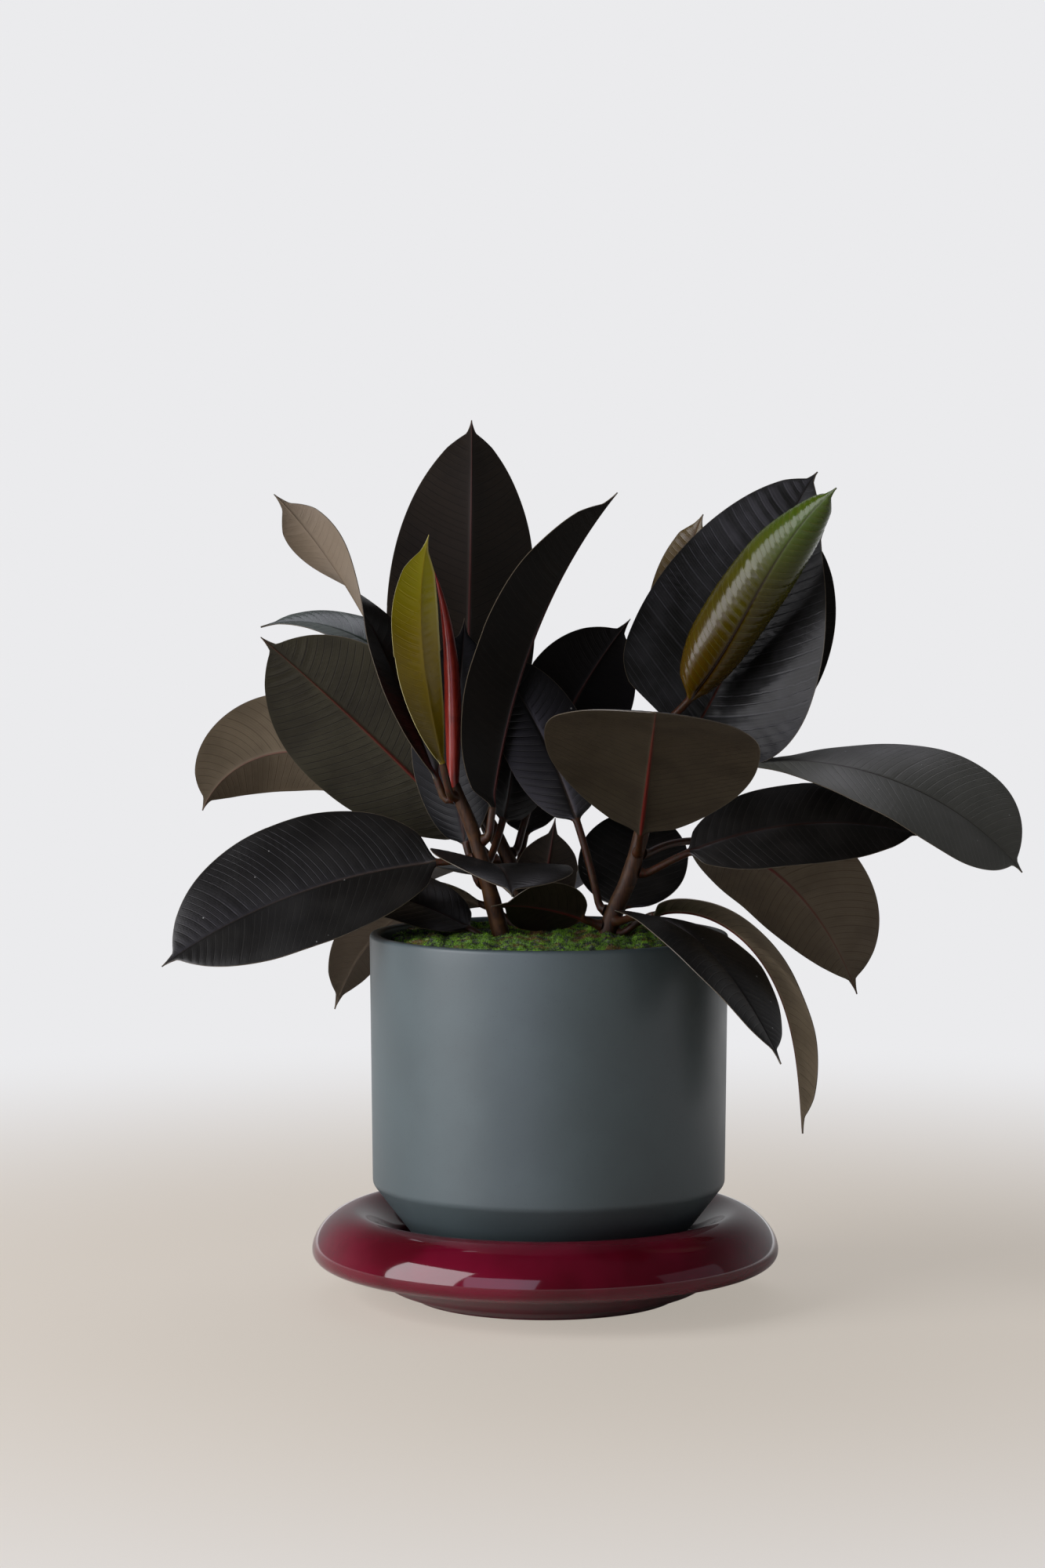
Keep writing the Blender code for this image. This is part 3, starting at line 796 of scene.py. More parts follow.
@dataclass(frozen=True)
class Stem:
    """A woody stem: its line in millimetres from below the moss upwards, and how it tapers."""

    name: str
    line: tuple[tuple[float, float, float], ...]
    foot_radius: float = 5.4
    tip_radius: float = 3.4

    ROWS = 70
    COLUMNS = 24
    CAP_ROWS = 4
    SCARRED = (0.16, 0.97)
    SCAR_SPACING = 13.0
    SCAR_THICKNESS = 0.10

    def at(self, share: float) -> tuple[np.ndarray, np.ndarray]:
        """A point on the stem's line.

        Args:
            share: how far up it lies, from 0 to 1.

        Returns:
            The point, and the line's direction there.
        """
        line = np.array(self.line, float)
        place = share * (len(line) - 1)
        first = min(int(place), len(line) - 2)
        t = place - first
        before, after = line[max(first - 1, 0)], line[min(first + 2, len(line) - 1)]
        a, b = line[first], line[first + 1]
        leave = (b - before) / (2 if first else 1)
        arrive = (after - a) / (2 if first + 2 < len(line) else 1)
        point = a * (2 * t**3 - 3 * t**2 + 1) + b * (3 * t**2 - 2 * t**3)
        point += leave * (t**3 - 2 * t**2 + t) + arrive * (t**3 - t**2)
        slope = (a - b) * (6 * t**2 - 6 * t) + leave * (3 * t**2 - 4 * t + 1) + arrive * (3 * t**2 - 2 * t)
        return point, unit(slope)

    def radius(self, share: float) -> float:
        """The stem's radius at a share of its length."""
        return self.foot_radius + (self.tip_radius - self.foot_radius) * share

    def build(self) -> None:
        """Makes the stem, its rounded end and its scars, and hands them over."""
        turns = np.linspace(0, 2 * math.pi, self.COLUMNS, endpoint=False)
        last = self.ROWS - 1 - self.CAP_ROWS
        rings = []
        for row in range(self.ROWS):
            share = min(row / last, 1.0)
            centre, axis = self.at(share)
            cap = max(0, row - last) / self.CAP_ROWS * math.pi / 2
            radius = self.radius(share) * max(math.cos(cap), 0.05)
            centre = centre + axis * self.tip_radius * 0.6 * math.sin(cap)
            side = unit(np.cross(axis, (0.0, 1.0, 0.0)))
            front = np.cross(side, axis)
            radius = radius * (1 + 0.03 * ripple(3 * turns + 9 * share, 0.7) + 0.05 * ripple(31 * share, 2.0))
            circle = np.outer(np.cos(turns), side) + np.outer(np.sin(turns), front)
            rings.append(centre + circle * radius[:, None])
        points = np.concatenate(rings)
        bark = BARK.material()
        piece = built(self.name + "_bark", points, loft_faces(self.ROWS, self.COLUMNS), [bark])
        turn_outwards(piece)
        hand_over(piece, self.name)
        self.scars(bark)

    def scars(self, bark: bpy.types.Material) -> None:
        """Rings the stem with its stipule scars.

        Args:
            bark: the stem's material.
        """
        shares = np.linspace(*self.SCARRED, 40)
        points = np.array([self.at(s)[0] for s in shares]) * MM
        mesh = bpy.data.meshes.new(self.name)
        mesh.from_pydata(points.tolist(), [(k, k + 1) for k in range(len(points) - 1)], [])
        girths = np.array([self.radius(s) * MM for s in shares], np.float32)
        mesh.attributes.new("girth", "FLOAT", "POINT").data.foreach_set("value", girths)
        seed = len(self.line) + int(self.line[0][0])
        recipe = StipuleScars(self.SCAR_SPACING * MM, self.SCAR_THICKNESS, seed, bark)
        rings = recipe.run(placed(self.name + "_line", mesh), self.name + "_scars")
        hand_over(rings)


@dataclass(frozen=True)
class Leaf:
    """A leaf on its petiole, in millimetres and degrees.

    Heading is the way it points in plan, 0 for +X and 90 for +Y. Rise is its slope above the
    level. Roll lifts the leaf's right side. Fold lifts both halves from flat, and curl is what
    each half turns on its way to the margin. Each is given at the stem, at the tip, and, where
    there are three, half way. Relief is how far the flesh swells between the side veins, wave
    how far the margin sways, hem the pale margin's width on the left and the right, ridge how far
    the midrib stands out, and halves how wide each half is as a share of its full width.
    """

    name: str
    stem: str
    at: float
    petiole: float
    length: float
    width: float
    heading: tuple[float, ...]
    rise: tuple[float, ...]
    roll: tuple[float, ...] = (0, 0)
    fold: tuple[float, ...] = (12, 8)
    curl: tuple[float, ...] = (-10, -10)
    tip: float = 9.0
    broad: float = 0.93
    upper: Upper = Upper.DARK
    under: Under = Under.BROWN
    relief: float = 0.22
    wave: float = 0.9
    hem: tuple[float, float] = (0.35, 0.35)
    ridge: float = 1.0
    halves: tuple[float, float] = (1.0, 1.0)
    spacing: float = 4.6
    slot: str = "leaf_dark"

    BLADE_THICK = 0.8
    PETIOLE_RADIUS = 2.1
    KNEE = 6.0
    HALF_POINTS = 13
    STEP = 1.25

    @property
    def seed(self) -> float:
        """A number of the leaf's own, from its name."""
        return sum(ord(c) * (k + 3) for k, c in enumerate(self.name)) % 97 / 7.0

    def foot(self, stem: Stem) -> tuple[np.ndarray, np.ndarray]:
        """Finds where the petiole starts.

        Args:
            stem: the stem that it grows on.

        Returns:
            Its foot, half a millimetre outside the bark or past the end of the stem's line, and
            the way that it leaves the stem.
        """
        point, axis = stem.at(self.at)
        if self.at >= 1.0:
            return point + axis * 0.5, axis
        heading = math.radians(self.heading[0])
        out = np.array([math.cos(heading), math.sin(heading), 0.0])
        out = unit(out - axis * float(out @ axis))
        return point + out * (stem.radius(self.at) + 0.5), out

    def frames(self, distance: np.ndarray, out: np.ndarray) -> tuple[np.ndarray, np.ndarray, np.ndarray]:
        """The leaf's directions.

        Args:
            distance: millimetres from the foot, one for each place.
            out: the way that the petiole leaves the stem.

        Returns:
            Forward, right and upper directions, a row for each place.
        """
        share = distance / (self.petiole + self.length)
        heading, rise, roll = (np.radians(along(v, share)) for v in (self.heading, self.rise, self.roll))
        forward = np.stack([np.cos(rise) * np.cos(heading), np.cos(rise) * np.sin(heading), np.sin(rise)], 1)
        level = np.stack([np.sin(heading), -np.cos(heading), 0 * heading], 1)
        right = level * np.cos(roll)[:, None] + np.cross(level, forward) * np.sin(roll)[:, None]
        ease = np.clip(distance / min(self.KNEE, self.petiole), 0, 1)[:, None]
        forward = unit(out * (1 - ease) + forward * ease)
        right = unit(right - forward * (right * forward).sum(1, keepdims=True))
        return forward, right, np.cross(right, forward)

    def half_width(self, share: np.ndarray) -> np.ndarray:
        """Half the blade's width: an oval that ends in a short drip tip.

        Args:
            share: places along the blade, from 0 to 1.

        Returns:
            Millimetres from the midrib to the margin at each.
        """
        body = 1 - self.tip / self.length
        place = np.minimum(np.clip(share, 0, 1) / body, 1.0) ** self.broad
        oval = self.width / 2 * (1 - np.abs(2 * place - 1) ** 2.3) ** 0.72
        drip = 2.4 * np.clip((1 - share) / (1 - body), 0, 2.2) ** 1.5 + 0.25
        return np.where(share > 0.5, (oval**3 + drip**3) ** (1 / 3), np.maximum(oval, 0.3))

    def reaches(self, wide: np.ndarray) -> np.ndarray:
        """Spreads a ring's points over half the blade, closer together at the midrib and the margin.

        Args:
            wide: half the blade's width at each ring.

        Returns:
            Shares of the way from the midrib to the margin, a row for each ring.
        """
        count = self.HALF_POINTS
        even = np.linspace(0, 1, count + 1)[None, :] * wide[:, None]
        inner = np.array([0.0, 0.5, 1.1, 2.0])
        spread = np.linspace(0, 1, count - 3)[None, 1:-1]
        outer = 2.0 + (wide[:, None] - 2.6) * spread
        close = np.concatenate([np.tile(inner, (len(wide), 1)), outer, wide[:, None] - 0.6, wide[:, None]], 1)
        share = np.clip((wide - 5) / 4, 0, 1)[:, None]
        return (even * (1 - share) + close * share) / wide[:, None]

    def veins(self, distance: np.ndarray, across: np.ndarray, wide: np.ndarray) -> np.ndarray:
        """Counts the side veins between the foot and each point, on lines that lean forward.

        Args:
            distance: millimetres along the blade.
            across: millimetres from the midrib, less than 0 on the left.
            wide: half the blade's width.

        Returns:
            The count at each point.
        """
        lean = 0.30 * np.abs(across) + 0.22 * across**2 / wide
        place = distance - lean
        drift = 0.35 * ripple(place / 5.1, self.seed) + 0.5 * ripple(place / 17.0, self.seed + 1)
        return place / self.spacing + drift + np.where(across < 0, 0.4, 0.0)

    def build(self, stems: Mapping[str, Stem]) -> None:
        """Makes the leaf and hands it over.

        Args:
            stems: the plant's stems by name.
        """
        start, out = self.foot(stems[self.stem])
        blade = np.linspace(0, 1, max(24, round(self.length / self.STEP))) * self.length
        stalk = np.linspace(0, 1, max(4, round(self.petiole / 3.0)), endpoint=False) * self.petiole
        distance = np.concatenate([stalk, self.petiole + blade])
        walk = np.arange(0.0, self.petiole + self.length + 1.0, 1.0)
        steps = self.frames(walk[:-1] + 0.5, out)[0]
        path = np.vstack([start, start + np.cumsum(steps, axis=0)])
        centre = np.stack([np.interp(distance, walk, path[:, k]) for k in range(3)], 1)
        _, right, upper = self.frames(distance, out)
        points, marks = self.rings(distance, centre, right, upper)
        count = 4 * self.HALF_POINTS + 2
        rows = len(distance)
        slots = np.tile(self.ring_slots(), rows - 1)
        slots[: (len(stalk) + 2) * count] = 2
        slots = np.concatenate([slots, [2, 0]])
        skins = [self.upper.value.material(), self.under.value.material(), PETIOLE.material()]
        piece = built(self.name + "_blade", points, loft_faces(rows, count), skins, slots, marks)
        hand_over(piece, self.name)

    def ring_slots(self) -> np.ndarray:
        """Shares a ring's faces out: upper skin, lower skin, and the margins with the upper.

        Returns:
            The skin's place among the leaf's materials, for each face.
        """
        top = 2 * self.HALF_POINTS
        slots = np.ones(2 * top + 2, int)
        slots[: top + 1] = 0
        slots[-1] = 0
        return slots

    def rings(
        self, distance: np.ndarray, centre: np.ndarray, right: np.ndarray, upper: np.ndarray
    ) -> tuple[np.ndarray, dict[str, np.ndarray]]:
        """The leaf's rings of points and their marks.

        Args:
            distance: each ring's place along the leaf.
            centre: its centre.
            right: its direction to the right.
            upper: its direction upwards.

        Returns:
            The points, ring by ring, and the values that the skins read.
        """
        share = np.clip((distance - self.petiole) / self.length, 0, 1)
        wide = self.half_width(share)
        reach = self.reaches(wide)
        reach = np.concatenate([reach[:, :0:-1], -reach], 1)
        fold = np.radians(along(self.fold, share))[:, None]
        curl = np.radians(along(self.curl, share))[:, None]
        curl = np.where(np.abs(curl) < 1e-4, 1e-4, curl)
        size = np.abs(reach)
        turn = fold + curl * size
        w = wide[:, None] * np.where(reach < 0, *self.halves)
        across = np.sign(reach) * w * (np.sin(turn) - np.sin(fold)) / curl
        rise = w * (np.cos(fold) - np.cos(turn)) / curl
        flat = reach * w
        veins = self.veins(distance[:, None] - self.petiole, flat, w)
        lift = self.swelling(distance[:, None] - self.petiole, flat, size, w, veins)
        out_x, out_y = -np.sign(reach) * np.sin(turn), np.cos(turn)
        rib_reach = (1.5 * (1 - share) ** 0.8 + 0.3)[:, None]
        ridge = np.exp(-((flat / (0.62 * rib_reach)) ** 2))
        thick = self.BLADE_THICK / 2 * (1 - 0.45 * size**4)
        above = thick + lift - 0.28 * self.ridge * ridge * np.minimum(1, rib_reach)
        below = thick - lift + 0.62 * self.ridge * rib_reach * ridge
        x = np.concatenate([across + out_x * above, (across - out_x * below)[:, ::-1]], 1)
        y = np.concatenate([rise + out_y * above, (rise - out_y * below)[:, ::-1]], 1)
        round_x, round_y = self.stalk_ring(distance, x.shape[1])
        blend = np.clip(share / 0.06, 0, 1)[:, None]
        blend = blend * blend * (3 - 2 * blend)
        x, y = round_x + (x - round_x) * blend, round_y + (y - round_y) * blend
        points = centre[:, None, :] + right[:, None, :] * x[..., None] + upper[:, None, :] * y[..., None]
        edge = (w - np.abs(flat)) * 0.5 / np.where(flat < 0, self.hem[0], self.hem[1])
        along_mark = np.where(share > 0, share, distance / self.petiole - 1)[:, None] + 0 * flat
        off = np.abs(flat)
        whole = {"vein": veins, "across": off, "edge": edge, "rib": off / rib_reach, "along": along_mark}
        marks = {name: np.concatenate([v, v[:, ::-1]], 1).ravel() for name, v in whole.items()}
        return points.reshape(-1, 3), marks

    def swelling(
        self, place: np.ndarray, flat: np.ndarray, size: np.ndarray, wide: np.ndarray, veins: np.ndarray
    ) -> np.ndarray:
        """How far the blade stands off its plain surface.

        Args:
            place: millimetres along the blade.
            flat: millimetres from the midrib, less than 0 on the left.
            size: the same as a share of the half's width.
            wide: half the blade's width.
            veins: the count of side veins.

        Returns:
            The height of the cushions between the veins, and of the margin's sway.
        """
        inside = np.clip(np.abs(flat) / 5.0, 0, 1) * (1 - size**6)
        cushion = 0.3 - 0.7 * np.cos(2 * np.pi * veins)
        side = np.where(flat < 0, 2.0, 0.0)
        sway = ripple(place / 9.5 + side, self.seed + side) * size**2 * np.clip(wide / 18, 0, 1)
        return self.relief * inside * cushion + self.wave * sway * 0.6

    def stalk_ring(self, distance: np.ndarray, count: int) -> tuple[np.ndarray, np.ndarray]:
        """The petiole's round rings, flared into the bark at the foot.

        Args:
            distance: each ring's place along the leaf.
            count: points in a ring.

        Returns:
            Distances to the right and upwards.
        """
        flare = self.PETIOLE_RADIUS + 1.3 * np.exp(-distance / 2.2)
        half = count // 2
        turns = np.concatenate([np.linspace(6, 174, half), np.linspace(186, 354, half)])
        turns = np.radians(turns)[None, :]
        return np.cos(turns) * flare[:, None], np.sin(turns) * flare[:, None]


@dataclass(frozen=True)
class BudSheath:
    """The red stipule that wraps the growing bud: a slender horn with a lapped seam."""

    spine: Leaf

    ROWS = 110
    COLUMNS = 28
    SUNK = 1.5

    def build(self, stems: Mapping[str, Stem]) -> None:
        """Makes the sheath and hands it over.

        Args:
            stems: the plant's stems by name.
        """
        foot, out = self.spine.foot(stems[self.spine.stem])
        start = foot - out * self.SUNK
        whole = self.spine.petiole + self.spine.length
        distance = np.linspace(0, whole, self.ROWS)
        _, right, upper = self.spine.frames(distance, out)
        middle = (distance[1:] + distance[:-1]) / 2
        steps = self.spine.frames(middle, out)[0] * (whole / (self.ROWS - 1))
        centre = np.vstack([start, start + np.cumsum(steps, axis=0)])
        share = distance / whole
        turns = np.linspace(0, 2 * math.pi, self.COLUMNS, endpoint=False)[None, :]
        lap = 1 + 0.10 * ((turns / (2 * math.pi) + 0.35 * share[:, None]) % 1.0)
        radius = self.radius(share)[:, None] * lap
        points = centre[:, None, :] + right[:, None, :] * (np.cos(turns) * radius)[..., None]
        points = points + upper[:, None, :] * (np.sin(turns) * radius * 0.86)[..., None]
        faces = loft_faces(self.ROWS, self.COLUMNS)
        piece = built("bud_sheath", points.reshape(-1, 3), faces, [BUD_SCALE.material()])
        hand_over(piece, self.spine.name)

    @staticmethod
    def radius(share: np.ndarray) -> np.ndarray:
        """The horn's radius: fullest a third of the way up, then drawn out to a point."""
        stops = ((0.0, 3.4), (0.15, 4.4), (0.35, 5.2), (0.55, 4.6), (0.75, 3.0), (0.9, 1.5), (1.0, 0.15))
        return np.interp(share, [s for s, _ in stops], [r for _, r in stops])


# --------------------------------------------------------------------------------------
# Pot and saucer
# --------------------------------------------------------------------------------------


class Turning(Recipe):
    """Turns a section round the upright axis, as a potter's wheel does."""

    def __init__(self, steps: int, wobble: float, clay: bpy.types.Material) -> None:
        """Builds the tree. The section is a chain of points at (radius, 0, height), in order.

        Args:
            steps: columns in a full turn.
            wobble: how far the wall strays from a true circle, in metres.
            clay: the material.
        """
        inputs = {"Steps": ("Int", steps), "Wobble": ("Float", wobble), "Clay": ("Material", clay)}
        super().__init__("turning", inputs)
        section = self.given("Geometry")
        count = {"Geometry": section}
        count = self.add("GeometryNodeAttributeDomainSize", {"component": "MESH"}, count, "Point Count")
        columns = self.add("ShaderNodeMath", PLUS, {0: self.given("Steps"), 1: 1.0})
        grid = self.add("GeometryNodeMeshGrid", {}, {"Vertices X": count, "Vertices Y": columns}, "Mesh")
        index = self.add("GeometryNodeInputIndex")
        middle = self.add("ShaderNodeMath", PLUS, {0: index, 1: 0.5})
        row = self.add("ShaderNodeMath", {"operation": "DIVIDE"}, {0: middle, 1: columns})
        row = self.add("ShaderNodeMath", {"operation": "FLOOR"}, {0: row})
        before = self.add("ShaderNodeMath", TIMES, {0: row, 1: columns})
        column = self.add("ShaderNodeMath", MINUS, {0: index, 1: before})
        turn = self.add("ShaderNodeMath", {"operation": "DIVIDE"}, {0: column, 1: self.given("Steps")})
        turn = self.add("ShaderNodeMath", TIMES, {0: turn, 1: 2 * math.pi})
        samples = {"Geometry": section, "Value": self.add("GeometryNodeInputPosition"), "Index": row}
        sample = self.add("GeometryNodeSampleIndex", VECTOR, samples)
        radius = self.add("ShaderNodeSeparateXYZ", {}, {"Vector": sample})
        height = radius.node.outputs["Z"]
        # The wall strays from a true circle in three slow waves, except at the axis.
        waves = self.add("ShaderNodeMath", TIMES_PLUS, {0: turn, 1: 3.0, 2: height})
        waves = self.add("ShaderNodeMath", {"operation": "SINE"}, {0: waves})
        away = self.add("ShaderNodeMath", {**TIMES, "use_clamp": True}, {0: radius, 1: 20.0})
        waves = self.add("ShaderNodeMath", TIMES, {0: waves, 1: away})
        radius = self.add("ShaderNodeMath", TIMES_PLUS, {0: waves, 1: self.given("Wobble"), 2: radius})
        sides = [self.add("ShaderNodeMath", {"operation": o}, {0: turn}) for o in ("COSINE", "SINE")]
        across, deep = (self.add("ShaderNodeMath", TIMES, {0: radius, 1: side}) for side in sides)
        spot = self.add("ShaderNodeCombineXYZ", {}, {"X": across, "Y": deep, "Z": height})
        shell = self.add("GeometryNodeSetPosition", {}, {"Geometry": grid, "Position": spot})
        shell = self.add("GeometryNodeMergeByDistance", {}, {"Geometry": shell, "Distance": 2e-6})
        self.end(self.add("GeometryNodeSetShadeSmooth", {}, {"Geometry": shell}), "Clay")


def quarter(
    start: tuple[float, float], end: tuple[float, float], bulge: float, steps: int, upright: bool = False
) -> list[tuple[float, float]]:
    """Points of a rounded quarter between two points, without its first.

    Args:
        start: (radius, height).
        end: the same.
        bulge: the superellipse's power: 2 is round and less is flatter.
        steps: how many points.
        upright: whether the curve leaves the start along its height, not its radius.

    Returns:
        The points.
    """
    points = []
    for k in range(1, steps + 1):
        turn = math.pi / 2 * k / steps
        across, down = math.sin(turn) ** (2 / bulge), 1 - math.cos(turn) ** (2 / bulge)
        if upright:
            across, down = down, across
        points.append((start[0] + (end[0] - start[0]) * across, start[1] + (end[1] - start[1]) * down))
    return points


def softened(corners: Sequence[tuple[float, float, float]], steps: int = 5) -> list[tuple[float, float]]:
    """A section with its corners rounded.

    Args:
        corners: (radius, height, rounding) of each corner. The first and the last stay sharp.
        steps: points on each rounding.

    Returns:
        (radius, height) of each point.
    """
    points = [corners[0][:2]]
    for before, here, after in zip(corners, corners[1:], corners[2:]):
        a, b, c = (np.array(p[:2]) for p in (before, here, after))
        first, last = b + unit(a - b) * here[2], b + unit(c - b) * here[2]
        for t in np.linspace(0, 1, steps + 1):
            point = first * (1 - t) ** 2 + 2 * b * t * (1 - t) + last * t * t
            points.append((float(point[0]), float(point[1])))
    points.append(corners[-1][:2])
    return points


def filled(points: Sequence[tuple[float, float]], gap: float) -> list[tuple[float, float]]:
    """Adds points to a section.

    Args:
        points: (radius, height) of each point.
        gap: the furthest apart that neighbours may be, in millimetres.

    Returns:
        The same section, with the new points in it.
    """
    full = [points[0]]
    for a, b in zip(points, points[1:]):
        count = max(1, math.ceil(math.dist(a, b) / gap))
        for k in range(1, count + 1):
            full.append((a[0] + (b[0] - a[0]) * k / count, a[1] + (b[1] - a[1]) * k / count))
    return full


@dataclass(frozen=True)
class Vessel:
    """A piece turned on the wheel. Its subclasses give the section."""

    node: str
    slot: str
    steps: int = 144
    wobble: float = 0.05

    CREASE = 42.0

    def section(self) -> list[tuple[float, float]]:
        """(radius, height) from the axis inside, over the rim, to the axis underneath."""
        raise NotImplementedError

    def finish(self) -> bpy.types.Material:
        """The vessel's material."""
        raise NotImplementedError

    def build(self) -> None:
        """Turns the vessel on the solid's own axis and hands it over."""
        low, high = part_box(self.node)
        mesh = bpy.data.meshes.new(self.node)
        points = [(r * MM, 0.0, z * MM) for r, z in self.section()]
        mesh.from_pydata(points, [(k, k + 1) for k in range(len(points) - 1)], [])
        recipe = Turning(self.steps, self.wobble * MM, self.finish())
        piece = recipe.run(placed(self.node + "_section", mesh), self.node + "_turned")
        piece.data.transform(Matrix.Translation(((low.x + high.x) / 2, (low.y + high.y) / 2, 0.0)))
        turn_outwards(piece)
        piece.data.set_sharp_from_angle(angle=math.radians(self.CREASE))
        hand_over(piece, self.node)


@dataclass(frozen=True)
class Saucer(Vessel):
    """A saucer with a fat rolled rim on a small flared foot, in millimetres."""

    node: str = "saucer"
    slot: str = "saucer_glaze"
    steps: int = 200
    well: tuple[float, float] = (66.0, 10.0)
    knee: tuple[float, float] = (86.0, 30.0)
    crest: tuple[float, float] = (107.0, 49.0)
    widest: tuple[float, float] = (130.5, 27.0)
    tuck: tuple[float, float] = (114.0, 18.0)
    flare: tuple[float, float] = (92.0, 9.0)
    foot: float = 74.0

    def section(self) -> list[tuple[float, float]]:
        """The well, the roll and the foot.

        Returns:
            (radius, height) of each point, from the axis inside to the axis underneath.
        """
        points = [(0.0, self.well[1]), self.well]
        points += quarter(self.well, self.knee, 2.0, 10)
        points += quarter(self.knee, self.crest, 1.6, 12, upright=True)
        points += quarter(self.crest, self.widest, 1.75, 20)
        points += quarter(self.widest, self.tuck, 2.4, 12, upright=True)
        under = [(*self.tuck, 0.0), (*self.flare, 4.0), (self.foot + 14, self.flare[1] - 3, 2.0)]
        under += [(self.foot + 1, 1.0, 1.0), (self.foot, 0.0, 0.6), (0.0, 0.0, 0.0)]
        return filled(points + softened(under)[1:], 9.0)

    def finish(self) -> bpy.types.Material:
        """The burgundy glaze."""
        return BurgundyGlaze().material()


@dataclass(frozen=True)
class Pot(Vessel):
    """A straight drum over a long chamfer, with a thin rounded lip, in millimetres."""

    node: str = "pot"
    slot: str = "pot_glaze"
    base: tuple[float, float] = (57.0, 10.3)
    crease: tuple[float, float] = (98.4, 64.0)
    rim: tuple[float, float] = (100.0, 203.6)
    wall: float = 6.0
    floor: float = 9.0

    def section(self) -> list[tuple[float, float]]:
        """The inside, the lip, the drum and the chamfer.

        Returns:
            (radius, height) of each point, from the axis inside to the axis underneath.
        """
        inner_rim = self.rim[0] - self.wall
        corners = [
            (0.0, self.base[1] + self.floor, 0.0),
            (self.base[0] - 2, self.base[1] + self.floor, 4.0),
            (self.crease[0] - self.wall, self.crease[1] + 1, 5.0),
            (inner_rim, self.rim[1], 2.2),
            (self.rim[0], self.rim[1], 2.2),
            (self.crease[0] + 0.1, self.crease[1], 2.0),
            (self.base[0], self.base[1], 1.6),
            (0.0, self.base[1], 0.0),
        ]
        return filled(softened(corners, 7), 8.0)

    def finish(self) -> bpy.types.Material:
        """The slate engobe."""
        return Stoneware().material()


# --------------------------------------------------------------------------------------
# Soil and moss
# --------------------------------------------------------------------------------------


class Grain(Enum):
    """What is strewn over a bed."""

    CRUMB = "crumb"
    FROND = "frond"


class Strewing(Recipe):
    """Covers a bed's upper side with small pieces, each turned and sized by chance."""

    def __init__(
        self,
        grain: Grain,
        spacing: float,
        size: float,
        lean: float,
        seed: int,
        dress: bpy.types.Material,
    ) -> None:
        """Builds the tree.

        Args:
            grain: what is strewn.
            spacing: the least distance from piece to piece, in metres.
            size: a piece's length, in metres.
            lean: how far it may lean off the upright, in radians.
            seed: the chance's seed.
            dress: the material of the bed and the pieces.
        """
        inputs = {
            "Spacing": ("Float", spacing),
            "Piece Size": ("Float", size),
            "Lean": ("Float", lean),
            "Seed": ("Int", seed),
            "Dress": ("Material", dress),
        }
        super().__init__("strewn_" + grain.value, inputs)
        bed = self.given("Geometry")
        normal = self.add("GeometryNodeInputNormal", gives="Normal")
        up = self.add("ShaderNodeSeparateXYZ", {}, {"Vector": normal}, "Z")
        chosen = self.add("ShaderNodeMath", {"operation": "GREATER_THAN"}, {0: up, 1: 0.25})
        spread = {"Mesh": bed, "Distance Min": self.given("Spacing"), "Density Max": 4.0e6}
        spread |= {"Density Factor": chosen, "Seed": self.given("Seed")}
        poisson = {"distribute_method": "POISSON"}
        spots = self.add("GeometryNodeDistributePointsOnFaces", poisson, spread, "Points")
        lean = self.given("Lean")
        most = self.add("ShaderNodeCombineXYZ", {}, {"X": lean, "Y": lean, "Z": math.pi})
        least = self.add("ShaderNodeVectorMath", {"operation": "SCALE"}, {0: most, "Scale": -1.0})
        tilt = {"Min": least, "Max": most, "Seed": self.given("Seed")}
        tilt = self.add("FunctionNodeRandomValue", VECTOR, tilt)
        tilt = self.add("FunctionNodeEulerToRotation", {}, {"Euler": tilt})
        turns = {"Rotation": spots.node.outputs["Rotation"], "Rotate By": tilt}
        turn = self.add("FunctionNodeRotateRotation", {"rotation_space": "LOCAL"}, turns)
        second = self.add("ShaderNodeMath", PLUS, {0: self.given("Seed"), 1: 1.0})
        sizes = self.add("FunctionNodeRandomValue", VALUE, {"Min": 0.5, "Max": 1.25, "Seed": second})
        size = self.add("ShaderNodeMath", TIMES, {0: self.given("Piece Size"), 1: sizes})
        fills = {"Points": spots, "Instance": self.shape(grain), "Rotation": turn, "Scale": size}
        pieces = self.add("GeometryNodeInstanceOnPoints", {}, fills)
        third = self.add("ShaderNodeMath", PLUS, {0: self.given("Seed"), 1: 2.0})
        tint = self.add("FunctionNodeRandomValue", VALUE, {"Min": 0.0, "Max": 1.0, "Seed": third})
        stored = {"data_type": "FLOAT", "domain": "INSTANCE"}
        tinted = {"Geometry": pieces, "Name": "tint", "Value": tint}
        pieces = self.add("GeometryNodeStoreNamedAttribute", stored, tinted)
        self.end(self.add("GeometryNodeJoinGeometry", {}, {"Geometry": [bed, pieces]}), "Dress")

    def shape(self, grain: Grain) -> bpy.types.NodeSocket:
        """One piece of unit length.

        Args:
            grain: which one.

        Returns:
            Its mesh.
        """
        if grain is Grain.CRUMB:
            return self.add("GeometryNodeMeshIcoSphere", {}, {"Radius": 0.5, "Subdivisions": 1}, "Mesh")
        cone = {"Vertices": 3, "Side Segments": 1, "Radius Top": 0.0, "Radius Bottom": 0.17, "Depth": 1.0}
        return self.add("GeometryNodeMeshCone", {}, cone, "Mesh")


